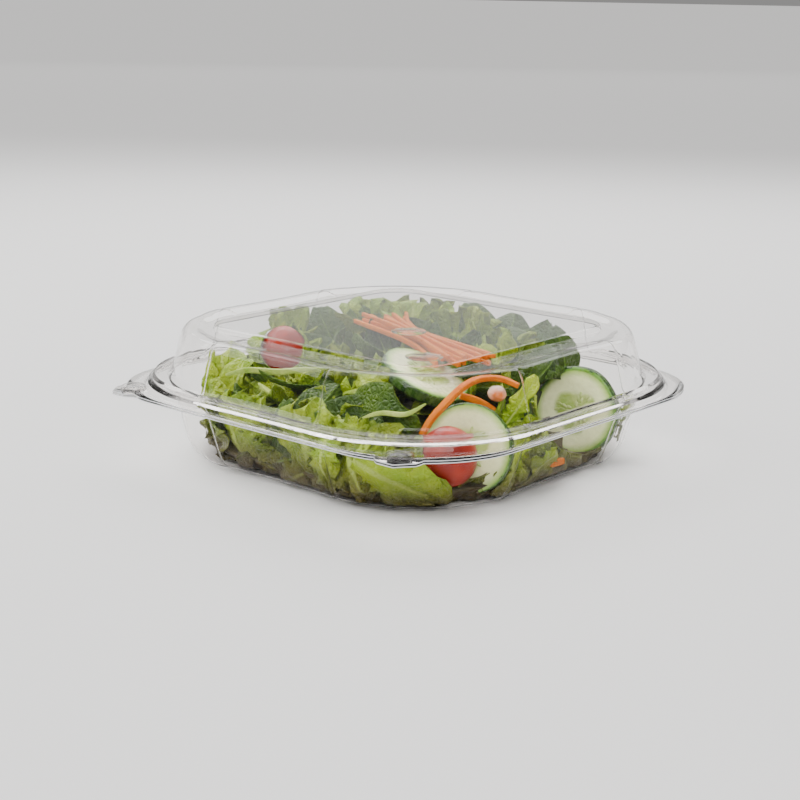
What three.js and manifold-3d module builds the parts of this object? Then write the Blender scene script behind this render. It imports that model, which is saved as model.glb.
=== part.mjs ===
// A clear hinged-lid salad box with its salad: a square thermoformed tray and a domed lid with
// fluted corners, leaves, two cherry tomatoes, cucumber slices and carrot strips inside.
// Millimetres, +Z up. The origin is the middle of the tray's underside. The box opens at -Y,
// and its living hinge runs along +Y.
import * as THREE from "three";
import { mergeVertices } from "three/addons/utils/BufferGeometryUtils.js";
import Module from "manifold-3d";

// Driving dimensions
const RIM_Z = 39; // height of the lid's rim above the table
const SHEET = 0.8; // wall thickness of tray and lid
const GAP = 0.3; // clearance between pieces that touch
const LIP_HALF = 112; // half the width over the flat flange lip
const LIP_CORNER = 51;
const WALL_FOOT = 104.9; // half the width of the lid's wall at its foot
const WALL_CORNER = 78;
const LIP_DROP = 4.8; // the flat lip lies this far below the top of the rim
const PANEL_HALF = 70; // raised square panel in the lid's top
const PANEL_CORNER = 15;
const PANEL_Z = 25; // panel above the rim
const CREST_Z = 24.2; // shoulder of the lid above the rim
const MOAT_Z = 22.4; // sunk channel between shoulder and panel
const FLOOR_HALF = 84;
const HINGE_LIP_END = 109.9; // the lip is cut straight here, beside the hinge
const BUTTON_X = 85;
const BUTTON_Y = -103;
const BUTTON_R = 6.2;
const BUTTON_H = 2.4;
const LOBE_R = 10.5;
const DISC_SIDES = 16; // sides of the buttons and of the lobes under them

// Flutes: each side is set in between two sharp creases, and each corner lobe has a shallow valley
const CREASE_U = 36.5; // distance of a crease from the middle of its side
const CREASE_HALF = 1.6;
const CREASE_DEPTH = 2.4;
const MIDDLE_INSET = 2.3;
const EDGE_INSET = 0.8;
const VALLEY_U = 55;
const VALLEY_WIDTH = 5;
const VALLEY_DEPTH = 0.9;
const MIDDLE_STEPS = [-0.6, 0, 0.6];
const CORNER_STEPS = 7;

const TOMATO_R = 13;
const CUCUMBER_R = 20.5;
const CUCUMBER_T = 6;
const CARROT_W = 3.2;
const CARROT_T = 2.4;
const BUNDLE_STRIPS = 6;
const LEAF_T = 1.1;
const WALL_LEAVES = 12;
const TOP_LEAVES = 11;
const CROWN_LEAVES = 4;
const BED_Z = 11; // the bed of leaves under the toppings, above the table

// Sizes of the leaves: length, width, bend along the length and height of the frill
const WALL_LEAF = [33, 42, 2, 1.6];
const BAY_LEAF = [22, 36, 2, 2];
const TOP_LEAF = [38, 40, 5, 2.6];
const CROWN_LEAF = [22, 34, 4, 2.2];

const wasm = await Module();
wasm.setup();

function material(colour, roughness, opacity = 1) {
  return new THREE.MeshStandardMaterial({
    color: colour,
    roughness,
    metalness: 0,
    transparent: opacity < 1,
    opacity,
  });
}

const CLEAR = material(0xe9edf0, 0.08, 0.3);
const LETTUCE = material(0x86a82a, 0.5);
const TOMATO = material(0xb92218, 0.15);
const CUCUMBER = material(0xd3dc9a, 0.35);
const CARROT = material(0xee7d12, 0.45);
const CHUNK = material(0xe9c3a8, 0.2);

// A seeded random draw between 0 and 1, the same in every run.
function seeded(seed) {
  let state = seed;
  return () => {
    state = (state * 1664525 + 1013904223) % 4294967296;
    return state / 4294967296;
  };
}

function smoothstep(from, to, x) {
  const t = Math.min(1, Math.max(0, (x - from) / (to - from)));
  return t * t * (3 - 2 * t);
}

// How far the wall stands in from its plain outline at distance u from the middle of a side.
function fluteInset(u) {
  const a = Math.abs(u);
  if (a < CREASE_U - CREASE_HALF / 2) {
    return EDGE_INSET + (MIDDLE_INSET - EDGE_INSET) * (1 - smoothstep(10, 33, a));
  }
  if (a < CREASE_U + CREASE_HALF / 2) return CREASE_DEPTH;
  return VALLEY_DEPTH * Math.exp(-(((a - VALLEY_U) / VALLEY_WIDTH) ** 2));
}

// The point of a plain rounded square at distance u from the middle of its +X side.
function sidePoint(half, corner, u) {
  const over = Math.max(0, Math.abs(u) - (half - corner));
  return half - corner + Math.sqrt(corner * corner - over * over);
}

// One level of the box: a rounded square with its flutes, as a loop seen from above, turning left.
// Every level has the same number of points, so that levels can be joined into a skin.
function outline(level) {
  const { half, corner, z, flute = 0, hinge = false } = level;
  const straight = half - corner;
  const firstU = CREASE_U + CREASE_HALF;
  const startAngle = Math.asin(Math.max(0, firstU - straight) / corner);
  const loop = [];
  for (let side = 0; side < 4; side += 1) {
    const turn = (side * Math.PI) / 2;
    const put = (x, y) => {
      const px = x * Math.cos(turn) - y * Math.sin(turn);
      let py = x * Math.sin(turn) + y * Math.cos(turn);
      if (hinge) py = Math.min(py, HINGE_LIP_END);
      loop.push(new THREE.Vector3(px, py, z));
    };
    const sideU = [-1, -1 + CREASE_HALF / CREASE_U, ...MIDDLE_STEPS, 1 - CREASE_HALF / CREASE_U, 1];
    for (const step of sideU) {
      const u = step * CREASE_U;
      put(sidePoint(half, corner, u) - flute * fluteInset(u), u);
    }
    for (let j = 0; j <= CORNER_STEPS; j += 1) {
      const atEnd = j === 0 || j === CORNER_STEPS;
      const share = straight > firstU ? (j - 1) / (CORNER_STEPS - 2) : j / CORNER_STEPS;
      const angle = startAngle + (Math.PI / 2 - 2 * startAngle) * Math.min(1, Math.max(0, share));
      let x = straight + corner * Math.cos(angle);
      let y = straight + corner * Math.sin(angle);
      if (atEnd && straight > firstU) {
        x = j === 0 ? half : firstU;
        y = j === 0 ? firstU : half;
      }
      const inset = flute * fluteInset(Math.min(x, y));
      put(x - inset * Math.cos(angle), y - inset * Math.sin(angle));
    }
  }
  return loop;
}

// Moves a profile by a distance to its under side: the sheet's other face, or a nesting neighbour's.
function offsetProfile(profile, distance) {
  return profile.map((level, i) => {
    const before = profile[Math.max(0, i - 1)];
    const after = profile[Math.min(profile.length - 1, i + 1)];
    const unit = (a, b) => {
      const length = Math.hypot(b.half - a.half, b.z - a.z) || 1;
      return [-(b.z - a.z) / length, (b.half - a.half) / length];
    };
    const first = i === 0 ? [0, 1] : unit(before, level);
    const second = i === profile.length - 1 ? first : unit(level, after);
    const sum = [first[0] + second[0], first[1] + second[1]];
    const scale = (2 * distance) / (sum[0] ** 2 + sum[1] ** 2);
    const out = sum[0] * scale;
    return {
      ...level,
      half: level.half - out,
      corner: level.corner - out,
      z: level.z - sum[1] * scale,
    };
  });
}

// Joins loops into one closed skin, capped by a point in the middle of the first and last loop.
function skin(loops) {
  const positions = [];
  const triangle = (a, b, c) => positions.push(...a.toArray(), ...b.toArray(), ...c.toArray());
  const count = loops[0].length;
  const top = new THREE.Vector3(0, 0, loops[0][0].z);
  const bottom = new THREE.Vector3(0, 0, loops.at(-1)[0].z);
  for (let j = 0; j < count; j += 1) {
    const k = (j + 1) % count;
    triangle(top, loops[0][j], loops[0][k]);
    for (let i = 0; i + 1 < loops.length; i += 1) {
      triangle(loops[i][j], loops[i + 1][j], loops[i + 1][k]);
      triangle(loops[i][j], loops[i + 1][k], loops[i][k]);
    }
    triangle(bottom, loops.at(-1)[k], loops.at(-1)[j]);
  }
  return new THREE.BufferGeometry().setAttribute(
    "position",
    new THREE.Float32BufferAttribute(positions, 3),
  );
}

function toSolid(geometry) {
  const plain = geometry.clone();
  plain.deleteAttribute("normal");
  plain.deleteAttribute("uv");
  const merged = mergeVertices(plain, 1e-4);
  return new wasm.Manifold(
    new wasm.Mesh({
      numProp: 3,
      vertProperties: new Float32Array(merged.attributes.position.array),
      triVerts: new Uint32Array(merged.index.array),
    }),
  );
}

function toGeometry(solid) {
  const mesh = solid.getMesh();
  const geometry = new THREE.BufferGeometry();
  geometry.setAttribute("position", new THREE.BufferAttribute(mesh.vertProperties, 3));
  geometry.setIndex(new THREE.BufferAttribute(mesh.triVerts, 1));
  return geometry;
}

// An upright round disc between two heights, with its middle at x, y.
function disc(radius, low, high, x, y) {
  const geometry = new THREE.CylinderGeometry(radius, radius, high - low, DISC_SIDES);
  geometry.rotateX(Math.PI / 2);
  geometry.translate(x, y, (low + high) / 2);
  return toSolid(geometry);
}

// The rim in section, from the wall's foot out to the lip's edge, on the lid's upper face.
const RIM = [
  { half: WALL_FOOT + 0.8, corner: WALL_CORNER - 1, z: RIM_Z },
  { half: WALL_FOOT + 3, corner: 64, z: RIM_Z },
  { half: WALL_FOOT + 4.3, corner: 62, z: RIM_Z - LIP_DROP, hinge: true },
  { half: LIP_HALF, corner: LIP_CORNER, z: RIM_Z - LIP_DROP, hinge: true },
];

const LID_TOP = [
  { half: PANEL_HALF, corner: PANEL_CORNER, z: RIM_Z + PANEL_Z },
  { half: PANEL_HALF + 1.4, corner: PANEL_CORNER + 1.4, z: RIM_Z + PANEL_Z - 0.5 },
  { half: PANEL_HALF + 2.2, corner: PANEL_CORNER + 2.2, z: RIM_Z + MOAT_Z },
  { half: 84, corner: 46, z: RIM_Z + MOAT_Z, flute: 0.3 },
  { half: 92.5, corner: 65.5, z: RIM_Z + CREST_Z, flute: 0.9 },
  { half: 97.4, corner: 70.5, z: RIM_Z + CREST_Z - 1.8, flute: 1 },
  { half: 100.3, corner: 73.5, z: RIM_Z + CREST_Z - 5.8, flute: 1 },
  { half: WALL_FOOT - 0.6, corner: WALL_CORNER - 0.6, z: RIM_Z + 2.4, flute: 0.7 },
];

const TRAY_INSIDE = [
  { half: FLOOR_HALF, corner: 50, z: SHEET, flute: 0.6 },
  { half: 90.5, corner: 56, z: SHEET + 2.2, flute: 0.9 },
  { half: 94.2, corner: 60.5, z: SHEET + 7.6, flute: 1 },
  { half: 102.2, corner: 75.5, z: RIM_Z - 8, flute: 0.8 },
  { half: WALL_FOOT - 1.2, corner: WALL_CORNER - 2.6, z: RIM_Z - 2.6, flute: 0.3 },
];

// A sheet with an upper face given by a profile, run from the middle outwards.
function sheetSolid(profile) {
  const under = offsetProfile(profile, SHEET).reverse();
  return toSolid(skin([...profile, ...under].map(outline)));
}

// Round lobes of the lip under the two snap buttons, and the buttons themselves.
function withButtons(solid, rimFoot, radius, height) {
  const lipTop = rimFoot.z;
  const edge = { half: rimFoot.half - SHEET / 2, corner: rimFoot.corner - SHEET / 2 };
  const insideRim = toSolid(skin([lipTop + height, lipTop - height].map((z) => outline({ ...edge, z }))));
  let made = solid;
  for (const x of [-BUTTON_X, BUTTON_X]) {
    const lobe = disc(LOBE_R, lipTop - SHEET, lipTop, x, BUTTON_Y).subtract(insideRim);
    made = made.add(lobe);
    made = made.add(disc(radius, lipTop - SHEET / 2, lipTop + height, x, BUTTON_Y));
  }
  for (const x of [-BUTTON_X, BUTTON_X]) {
    const inside = radius - SHEET;
    made = made.subtract(disc(inside, lipTop - 2 * SHEET, lipTop + height - SHEET, x, BUTTON_Y));
  }
  return made;
}

function lidSolid() {
  const profile = [...LID_TOP, ...RIM];
  return withButtons(sheetSolid(profile), profile.at(-2), BUTTON_R, BUTTON_H);
}

// The tray's rim nests under the lid's rim, one sheet and one gap lower.
function traySolid() {
  const nested = offsetProfile([...LID_TOP, ...RIM], SHEET + GAP).slice(-RIM.length);
  const profile = [...TRAY_INSIDE, ...nested];
  return withButtons(sheetSolid(profile), profile.at(-2), BUTTON_R - SHEET - GAP, BUTTON_H);
}

// The space that food may fill: inside the tray, and inside the shut lid.
function foodSpace(clear) {
  const floor = offsetProfile(TRAY_INSIDE, -clear);
  const ceiling = offsetProfile(LID_TOP, SHEET + clear);
  return toSolid(skin([...ceiling, ...floor.reverse()].map(outline)));
}

// A round slice of cucumber with softened edges, flat on the XY plane at its middle.
function cucumberGeometry(sliceRadius, grow) {
  const radius = sliceRadius + grow;
  const half = CUCUMBER_T / 2 + grow;
  const points = [
    [0, -half],
    [radius - 0.9, -half],
    [radius, -half + 1.1],
    [radius, half - 1.1],
    [radius - 0.9, half],
    [0, half],
  ].map(([r, y]) => new THREE.Vector2(r, y));
  return new THREE.LatheGeometry(points, 24).rotateX(Math.PI / 2);
}

// A cherry tomato: nearly round, slightly long, with a dimple at the stem end.
function tomatoGeometry(radius) {
  const geometry = new THREE.SphereGeometry(radius, 18, 10);
  const position = geometry.attributes.position;
  for (let i = 0; i < position.count; i += 1) {
    const p = new THREE.Vector3().fromBufferAttribute(position, i);
    const lift = p.y / radius;
    const dimple = 0.08 * Math.exp(-((1 - lift) * 18));
    p.multiplyScalar(1 - dimple);
    p.y *= 1.08;
    position.setXYZ(i, p.x, p.y, p.z);
  }
  return geometry;
}

// A cut strip of carrot along a curve through a few points.
function strip(points, grow) {
  const width = CARROT_W + 2 * grow;
  const thick = CARROT_T + 2 * grow;
  const curve = new THREE.CatmullRomCurve3(points.map((p) => new THREE.Vector3(...p)));
  const steps = Math.max(4, Math.round(curve.getLength() / 22));
  const section = new THREE.Shape();
  section.moveTo(-width / 2, -thick / 2);
  section.lineTo(width / 2, -thick / 2);
  section.lineTo(width / 2, thick / 2);
  section.lineTo(-width / 2, thick / 2);
  section.closePath();
  return new THREE.ExtrudeGeometry(section, { steps, bevelEnabled: false, extrudePath: curve });
}

// A thin wavy leaf: a grid bent along its length and frilled at its edge, both faces alike.
function leafGeometry(length, width, bend, frill, phase) {
  const rows = 4;
  const columns = 4;
  const grid = [];
  for (let i = 0; i <= rows; i += 1) {
    const t = i / rows;
    const spread = width * (0.28 + 0.72 * Math.sin(Math.PI * Math.min(0.96, 0.18 + 0.74 * t)));
    const row = [];
    for (let j = 0; j <= columns; j += 1) {
      const s = (2 * j) / columns - 1;
      const wave = frill * Math.abs(s) * Math.sin(6.5 * t + phase + (s > 0 ? 1.7 : 0));
      const x = (s * spread) / 2;
      const z = length * (t - 0.5);
      const y = bend * (4 * (t - 0.5) ** 2 - 0.5) + 0.18 * width * s * s + wave;
      row.push(new THREE.Vector3(x, y, z));
    }
    grid.push(row);
  }
  const lift = new THREE.Vector3(0, LEAF_T, 0);
  const under = grid.map((row) => row.map((p) => p.clone()));
  const over = grid.map((row) => row.map((p) => p.clone().add(lift)));
  const positions = [];
  const quad = (a, b, c, d) => {
    for (const p of [a, b, c, a, c, d]) positions.push(...p.toArray());
  };
  for (let i = 0; i < rows; i += 1) {
    for (let j = 0; j < columns; j += 1) {
      quad(over[i][j], over[i + 1][j], over[i + 1][j + 1], over[i][j + 1]);
      for (const p of [under[i][j], under[i + 1][j + 1], under[i + 1][j]]) {
        positions.push(...p.toArray());
      }
      for (const p of [under[i][j], under[i][j + 1], under[i + 1][j + 1]]) {
        positions.push(...p.toArray());
      }
    }
    quad(under[i][0], under[i + 1][0], over[i + 1][0], over[i][0]);
    quad(over[i][columns], over[i + 1][columns], under[i + 1][columns], under[i][columns]);
  }
  for (let j = 0; j < columns; j += 1) {
    quad(under[0][j + 1], under[0][j], over[0][j], over[0][j + 1]);
    quad(over[rows][j + 1], over[rows][j], under[rows][j], under[rows][j + 1]);
  }
  return new THREE.BufferGeometry().setAttribute(
    "position",
    new THREE.Float32BufferAttribute(positions, 3),
  );
}

// Puts a geometry in the box: turned about X, Y and Z in degrees, then moved to a place.
function placed(geometry, place, turn = [0, 0, 0]) {
  const angles = turn.map(THREE.MathUtils.degToRad);
  const rotation = new THREE.Matrix4().makeRotationFromEuler(new THREE.Euler(...angles, "ZYX"));
  geometry.applyMatrix4(rotation);
  geometry.translate(...place);
  return geometry;
}

// A place given by its height above the rim.
const at = (x, y, aboveRim) => [x, y, RIM_Z + aboveRim];

// The single strip that rises beside the front tomato and arches over to the right.
const ARCH = [
  at(60, -59.5, -9),
  at(61, -54.5, -2.5),
  at(65, -49, 5),
  at(67.5, -41, 11),
  at(69, -30.5, 13.6),
  at(74, -21, 12.8),
  at(81, -16.7, 9.8),
];

// The toppings, each larger than it really is by grow, to cut clear room for them in the salad.
function toppings(grow = 0) {
  const slice = (radius, place, turn) => placed(cucumberGeometry(radius, grow), place, turn);
  const chunk = new THREE.SphereGeometry(1, 12, 6).scale(6.2 + grow, 4.8 + grow, 4 + grow);
  return {
    tomato_front: [placed(tomatoGeometry(TOMATO_R + grow), at(75.1, -59.2, -15.7), [-60, 0, 20]), TOMATO],
    tomato_left: [placed(tomatoGeometry(TOMATO_R - 1 + grow), at(-60, -26, 5.5), [60, 0, 0]), TOMATO],
    cucumber_right: [slice(CUCUMBER_R + 1.3, at(70.6, 45, -15.4), [80, 0, 11]), CUCUMBER],
    cucumber_front: [slice(CUCUMBER_R + 0.4, at(72.2, -41.5, -16.6), [74, 0, 22]), CUCUMBER],
    cucumber_top: [slice(CUCUMBER_R + 1, at(38, -32, 9), [0, 26, 14]), CUCUMBER],
    root_chunk: [placed(chunk, at(71.5, -20.5, 5.2), [0, 0, -40]), CHUNK],
    carrot_arch: [strip(ARCH, grow), CARROT],
    carrot_short: [strip([at(62.5, -36, 5.6), at(67.5, -30, 3), at(72.5, -23.5, -1.8)], grow), CARROT],
    carrot_low: [strip([at(82, -9, -28), at(88, -3, -28.5), at(91, 6, -28)], grow), CARROT],
  };
}

// The bundle of carrot strips on top, under the panel: strips that cross and hold each other.
function carrotBundle(grow) {
  const random = seeded(11);
  let bundle = null;
  for (let i = 0; i < BUNDLE_STRIPS; i += 1) {
    const side = (i / (BUNDLE_STRIPS - 1) - 0.5) * 2;
    const sway = () => 5 * (random() - 0.5);
    const start = at(-40 + 9 * side, 26 + 10 * side + sway(), 16 + sway() / 4);
    const middle = at(6 + sway(), -2 + 3 * side, 19.6);
    const end = at(60 + 6 * side + sway(), -22 + 7 * side, 18 + sway() / 6);
    const piece = toSolid(strip([start, middle, end], grow));
    bundle = bundle ? bundle.add(piece) : piece;
  }
  return bundle;
}

// Directions, seen from above, in which a topping lies against the tray's wall.
const BAYS = [
  { angle: -0.62, width: 0.42, depth: 0.36 },
  { angle: 0.34, width: 0.36, depth: 0.34 },
];
// Directions of the low leaves that lie under those toppings.
const BAY_LEAVES = [-1.05, -0.66, -0.27, 0.1, 0.42];

// How much of its full reach the core has in a direction: less where a topping lies outside it.
function coreReach(x, y) {
  const angle = Math.atan2(y, x);
  const pull = ({ angle: at, width, depth }) => depth * Math.exp(-(((angle - at) / width) ** 2));
  return 1 - BAYS.reduce((sum, bay) => sum + pull(bay), 0);
}

// The heap lies lower in the right and left corners, where the box is empty above the rim.
function emptyCorner(x, y) {
  return 11 * smoothstep(85, 140, x + y) + 6 * smoothstep(95, 150, -x - y);
}

// The middle of the heap under the leaves: a mound that fills the tray, lower towards its walls.
// In the bays it falls to a low bed, on which the toppings and the low leaves stand.
function heapCore() {
  const rings = [0.4, 0.75, 1];
  const height = (x, y) => {
    const peak = 17 * Math.exp(-((x + 18) ** 2 + (y - 26) ** 2) / 4200);
    return RIM_Z - 11 + peak - emptyCorner(x, y) + 1.6 * Math.sin(x / 7) * Math.cos(y / 8);
  };
  const coarse = (level) => outline(level).filter((point, i) => i % 2 === 0);
  const pulledIn = (level) =>
    coarse(level).map(({ x, y, z }) => {
      const reach = coreReach(x, y);
      return new THREE.Vector3(x * reach, y * reach, z);
    });
  const edge = pulledIn({ half: 81, corner: 57, z: 0 });
  const top = rings.map((share) =>
    edge.map(({ x, y }) => new THREE.Vector3(x * share, y * share, height(x * share, y * share))),
  );
  const foot = [
    pulledIn({ half: 83, corner: 57, z: BED_Z + 3 }),
    coarse({ half: 82, corner: 55, z: BED_Z }),
    coarse({ half: 76, corner: 48, z: SHEET + GAP + 0.4 }),
  ];
  return toSolid(skin([...top, ...foot]));
}

// Leaves stand round the tray's wall, lean on the heap above it, and crown it at the back.
function leafSolids() {
  const random = seeded(5);
  const made = [];
  const add = (size, place, turn) => {
    const leaf = leafGeometry(...size, 6 * random());
    made.push(toSolid(placed(leaf, place, turn)));
  };
  for (let k = 0; k < WALL_LEAVES; k += 1) {
    const angle = (2 * Math.PI * (k + 0.35)) / WALL_LEAVES - Math.PI;
    if (BAYS.some((bay) => Math.abs(angle - bay.angle) < 0.3)) continue;
    const far = 90 + 9 * Math.sin(2 * angle) ** 2;
    const x = far * Math.cos(angle);
    const y = far * Math.sin(angle);
    const place = at(x, y, -15 + 3 * random() - emptyCorner(x, y));
    const facing = THREE.MathUtils.radToDeg(angle) + 90;
    add(WALL_LEAF, place, [9 + 5 * random(), 22 * (random() - 0.5), facing]);
  }
  for (const angle of BAY_LEAVES) {
    const far = 84 + 5 * Math.sin(2 * angle) ** 2;
    const facing = THREE.MathUtils.radToDeg(angle) + 90;
    const place = at(far * Math.cos(angle), far * Math.sin(angle), -26);
    add(BAY_LEAF, place, [14, 20 * (random() - 0.5), facing]);
  }
  for (let k = 0; k < TOP_LEAVES; k += 1) {
    const angle = (2 * Math.PI * k) / TOP_LEAVES + 0.4;
    const far = 44 + 20 * (k % 2);
    const x = far * Math.cos(angle) - 8;
    const y = far * Math.sin(angle) + 4;
    const place = at(x, y, -3 + 9 * smoothstep(-60, 40, y - x / 2));
    const facing = THREE.MathUtils.radToDeg(angle) + 90;
    add(TOP_LEAF, place, [52 + 22 * random(), 24 * (random() - 0.5), facing]);
  }
  for (let k = 0; k < CROWN_LEAVES; k += 1) {
    const share = k / (CROWN_LEAVES - 1);
    const place = at(-66 + 104 * share, 44 + 16 * Math.sin(Math.PI * share), 6 + 2 * random());
    add(CROWN_LEAF, place, [-20 + 30 * random(), 24 * (random() - 0.5), 25 - 60 * share]);
  }
  return made;
}

function largestBody(solid) {
  return solid.decompose().reduce((best, body) => (body.volume() > best.volume() ? body : best));
}

// The salad is one heap: its core and its leaves, kept inside the box and clear of the toppings.
function saladSolid() {
  let heap = heapCore();
  for (const leaf of leafSolids()) heap = heap.add(leaf);
  heap = heap.intersect(foodSpace(GAP + 0.3));
  for (const [geometry] of Object.values(toppings(GAP + 0.2))) heap = heap.subtract(toSolid(geometry));
  heap = heap.subtract(carrotBundle(GAP + 0.2));
  return largestBody(heap);
}

const root = new THREE.Group();

function addMesh(name, geometry, look) {
  const mesh = new THREE.Mesh(geometry, look);
  mesh.name = name;
  root.add(mesh);
}

addMesh("tray", toGeometry(traySolid()), CLEAR);
addMesh("lid", toGeometry(lidSolid()), CLEAR);
addMesh("salad", toGeometry(saladSolid()), LETTUCE);
addMesh("carrot_bundle", toGeometry(carrotBundle(0)), CARROT);
for (const [name, [geometry, look]] of Object.entries(toppings())) {
  addMesh(name, toGeometry(toSolid(geometry)), look);
}

export default root;
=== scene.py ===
# %% [markdown]
# # A takeaway salad box
#
# The object is a clear hinged box, pressed from one thin plastic sheet, with a leafy salad in it. The
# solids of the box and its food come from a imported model, which gives every piece its place and size.
# Here each piece gets the surface that the eye sees: smooth clear walls, curly leaves, wet vegetables.

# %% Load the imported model
import math
import random

import bmesh
import bpy
from mathutils import Euler, Matrix, Vector, noise


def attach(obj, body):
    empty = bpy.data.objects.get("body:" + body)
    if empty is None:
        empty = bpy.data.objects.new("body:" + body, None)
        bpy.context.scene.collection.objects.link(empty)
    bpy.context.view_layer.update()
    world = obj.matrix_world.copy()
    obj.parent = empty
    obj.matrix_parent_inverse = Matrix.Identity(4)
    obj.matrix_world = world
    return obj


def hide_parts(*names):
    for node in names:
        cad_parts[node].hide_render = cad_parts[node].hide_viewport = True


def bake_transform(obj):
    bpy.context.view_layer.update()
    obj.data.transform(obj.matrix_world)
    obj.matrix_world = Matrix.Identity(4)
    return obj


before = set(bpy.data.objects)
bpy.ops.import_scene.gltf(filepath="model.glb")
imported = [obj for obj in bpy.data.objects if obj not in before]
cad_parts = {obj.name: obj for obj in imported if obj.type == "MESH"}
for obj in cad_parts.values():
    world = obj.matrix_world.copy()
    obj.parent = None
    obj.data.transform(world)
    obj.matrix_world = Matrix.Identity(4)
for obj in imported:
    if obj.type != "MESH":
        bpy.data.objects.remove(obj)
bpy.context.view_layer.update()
print("nodes:", sorted(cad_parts))

# %% [markdown]
# ## Camera
#
# The photo looks down on a corner of the box from a low height. The box opens at -Y, so its two front
# sides are -Y on the left and +X on the right. The camera is turned 41 degrees about the box and raised 13.
# A small shift puts the box as high in the picture as it is in the photo.

# %% Camera at the photo's angle
MM = 0.001
CAMERA_AZIMUTH = math.radians(40.77)
CAMERA_ELEVATION = math.radians(13.31)
CAMERA_ROLL = math.radians(0.79)
CAMERA_DISTANCE = 0.799
CAMERA_TARGET = Vector((0, 0, 0.039))
FOCAL_PIXELS = 1618.13
IMAGE_PIXELS = 800
TARGET_PIXEL = (407.74, 372.33)
SENSOR_MM = 36

to_camera = Vector((
    math.sin(CAMERA_AZIMUTH) * math.cos(CAMERA_ELEVATION),
    -math.cos(CAMERA_AZIMUTH) * math.cos(CAMERA_ELEVATION),
    math.sin(CAMERA_ELEVATION),
))
camera_right = Vector((math.cos(CAMERA_AZIMUTH), math.sin(CAMERA_AZIMUTH), 0))
camera_up = to_camera.cross(camera_right)
camera_data = bpy.data.cameras.new("camera")
camera_data.sensor_width = SENSOR_MM
camera_data.lens = FOCAL_PIXELS / IMAGE_PIXELS * SENSOR_MM
camera_data.shift_x = (IMAGE_PIXELS / 2 - TARGET_PIXEL[0]) / IMAGE_PIXELS
camera_data.shift_y = (TARGET_PIXEL[1] - IMAGE_PIXELS / 2) / IMAGE_PIXELS
camera = bpy.data.objects.new("camera", camera_data)
turn = Matrix((camera_right, camera_up, to_camera)).transposed().to_4x4()
camera.matrix_world = (
    Matrix.Translation(CAMERA_TARGET + to_camera * CAMERA_DISTANCE)
    @ turn
    @ Matrix.Rotation(CAMERA_ROLL, 4, "Z")
)
bpy.context.scene.collection.objects.link(camera)
bpy.context.scene.camera = camera
print("camera at", [round(v, 3) for v in camera.matrix_world.translation])

# %% [markdown]
# ## Floor and light
#
# A clear box shows mostly what it reflects: pale surroundings and large soft lamps. The floor is pale and
# a little warm. A large soft lamp above and behind draws the white lines along the lid's shoulder, a
# second from the left lights the leaves, and a weak one from the front opens the shadows. A low one far
# behind is mirrored by the flat panel, and gives it the pale haze of the photo. Lamps alone would leave the
# floor dark further off, so a very wide sun is added, too soft to draw a shadow of its own.

# %% Floor, surroundings and lamps
FLOOR_HALF = 30
FLOOR_COLOUR = (0.9, 0.89, 0.88, 1)
FLOOR_ROUGHNESS = 0.6
SKY_COLOUR = (1, 0.985, 0.97, 1)
SKY_STRENGTH = 0.28
LAMP_AIM = Vector((0, 0, 0.03))
# Each lamp: name, place and size in metres, and watts.
LAMPS = [
    ("lamp_back", (-0.5, 0.75, 0.85), (1.4, 0.8), 13.5),
    ("lamp_left", (-0.85, -0.6, 0.75), (0.9, 0.7), 9),
    ("lamp_front", (0.75, -0.6, 0.8), (0.7, 0.6), 6),
    ("lamp_low", (-2.6, 3, 0.92), (3.4, 0.7), 4),
]
SUN_SIDE = Vector((-0.4, 0.1, 1))
SUN_STRENGTH = 2.0
SUN_SPREAD = math.radians(70)


def add_floor():
    material = bpy.data.materials.new("floor_pale")
    material.use_nodes = True
    shader = material.node_tree.nodes["Principled BSDF"]
    shader.inputs["Base Color"].default_value = FLOOR_COLOUR
    shader.inputs["Roughness"].default_value = FLOOR_ROUGHNESS
    bm = bmesh.new()
    bmesh.ops.create_grid(bm, x_segments=2, y_segments=2, size=FLOOR_HALF)
    mesh = bpy.data.meshes.new("floor")
    bm.to_mesh(mesh)
    bm.free()
    mesh.materials.append(material)
    floor = bpy.data.objects.new("floor", mesh)
    bpy.context.scene.collection.objects.link(floor)


def place_light(name, data, place, towards):
    """Puts a light at its place, with its beam along a direction."""
    light = bpy.data.objects.new(name, data)
    light.matrix_world = Matrix.Translation(place) @ towards.to_track_quat("-Z", "Y").to_matrix().to_4x4()
    bpy.context.scene.collection.objects.link(light)


world = bpy.data.worlds.new("surroundings")
world.use_nodes = True
sky = world.node_tree.nodes["Background"]
sky.inputs["Color"].default_value = SKY_COLOUR
sky.inputs["Strength"].default_value = SKY_STRENGTH
bpy.context.scene.world = world
add_floor()
for name, place, size, watts in LAMPS:
    lamp = bpy.data.lights.new(name, "AREA")
    lamp.shape = "RECTANGLE"
    lamp.size, lamp.size_y = size
    lamp.energy = watts
    place_light(name, lamp, Vector(place), LAMP_AIM - Vector(place))
sun = bpy.data.lights.new("sun_soft", "SUN")
sun.energy, sun.angle = SUN_STRENGTH, SUN_SPREAD
place_light("sun_soft", sun, Vector(), -SUN_SIDE)

# %% [markdown]
# ## The box's form
#
# Tray and lid are drawn from the same kind of outline: a rounded square whose sides are set in between
# two sharp creases, which stiffen the thin sheet. Every level of the wall is such an outline with its own
# width and corner. The CAD solids could be shown as they are, but their edges are sharp and their sheet is
# twice too thick, so the same numbers, in millimetres, are drawn again here with the edges rounded.

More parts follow.
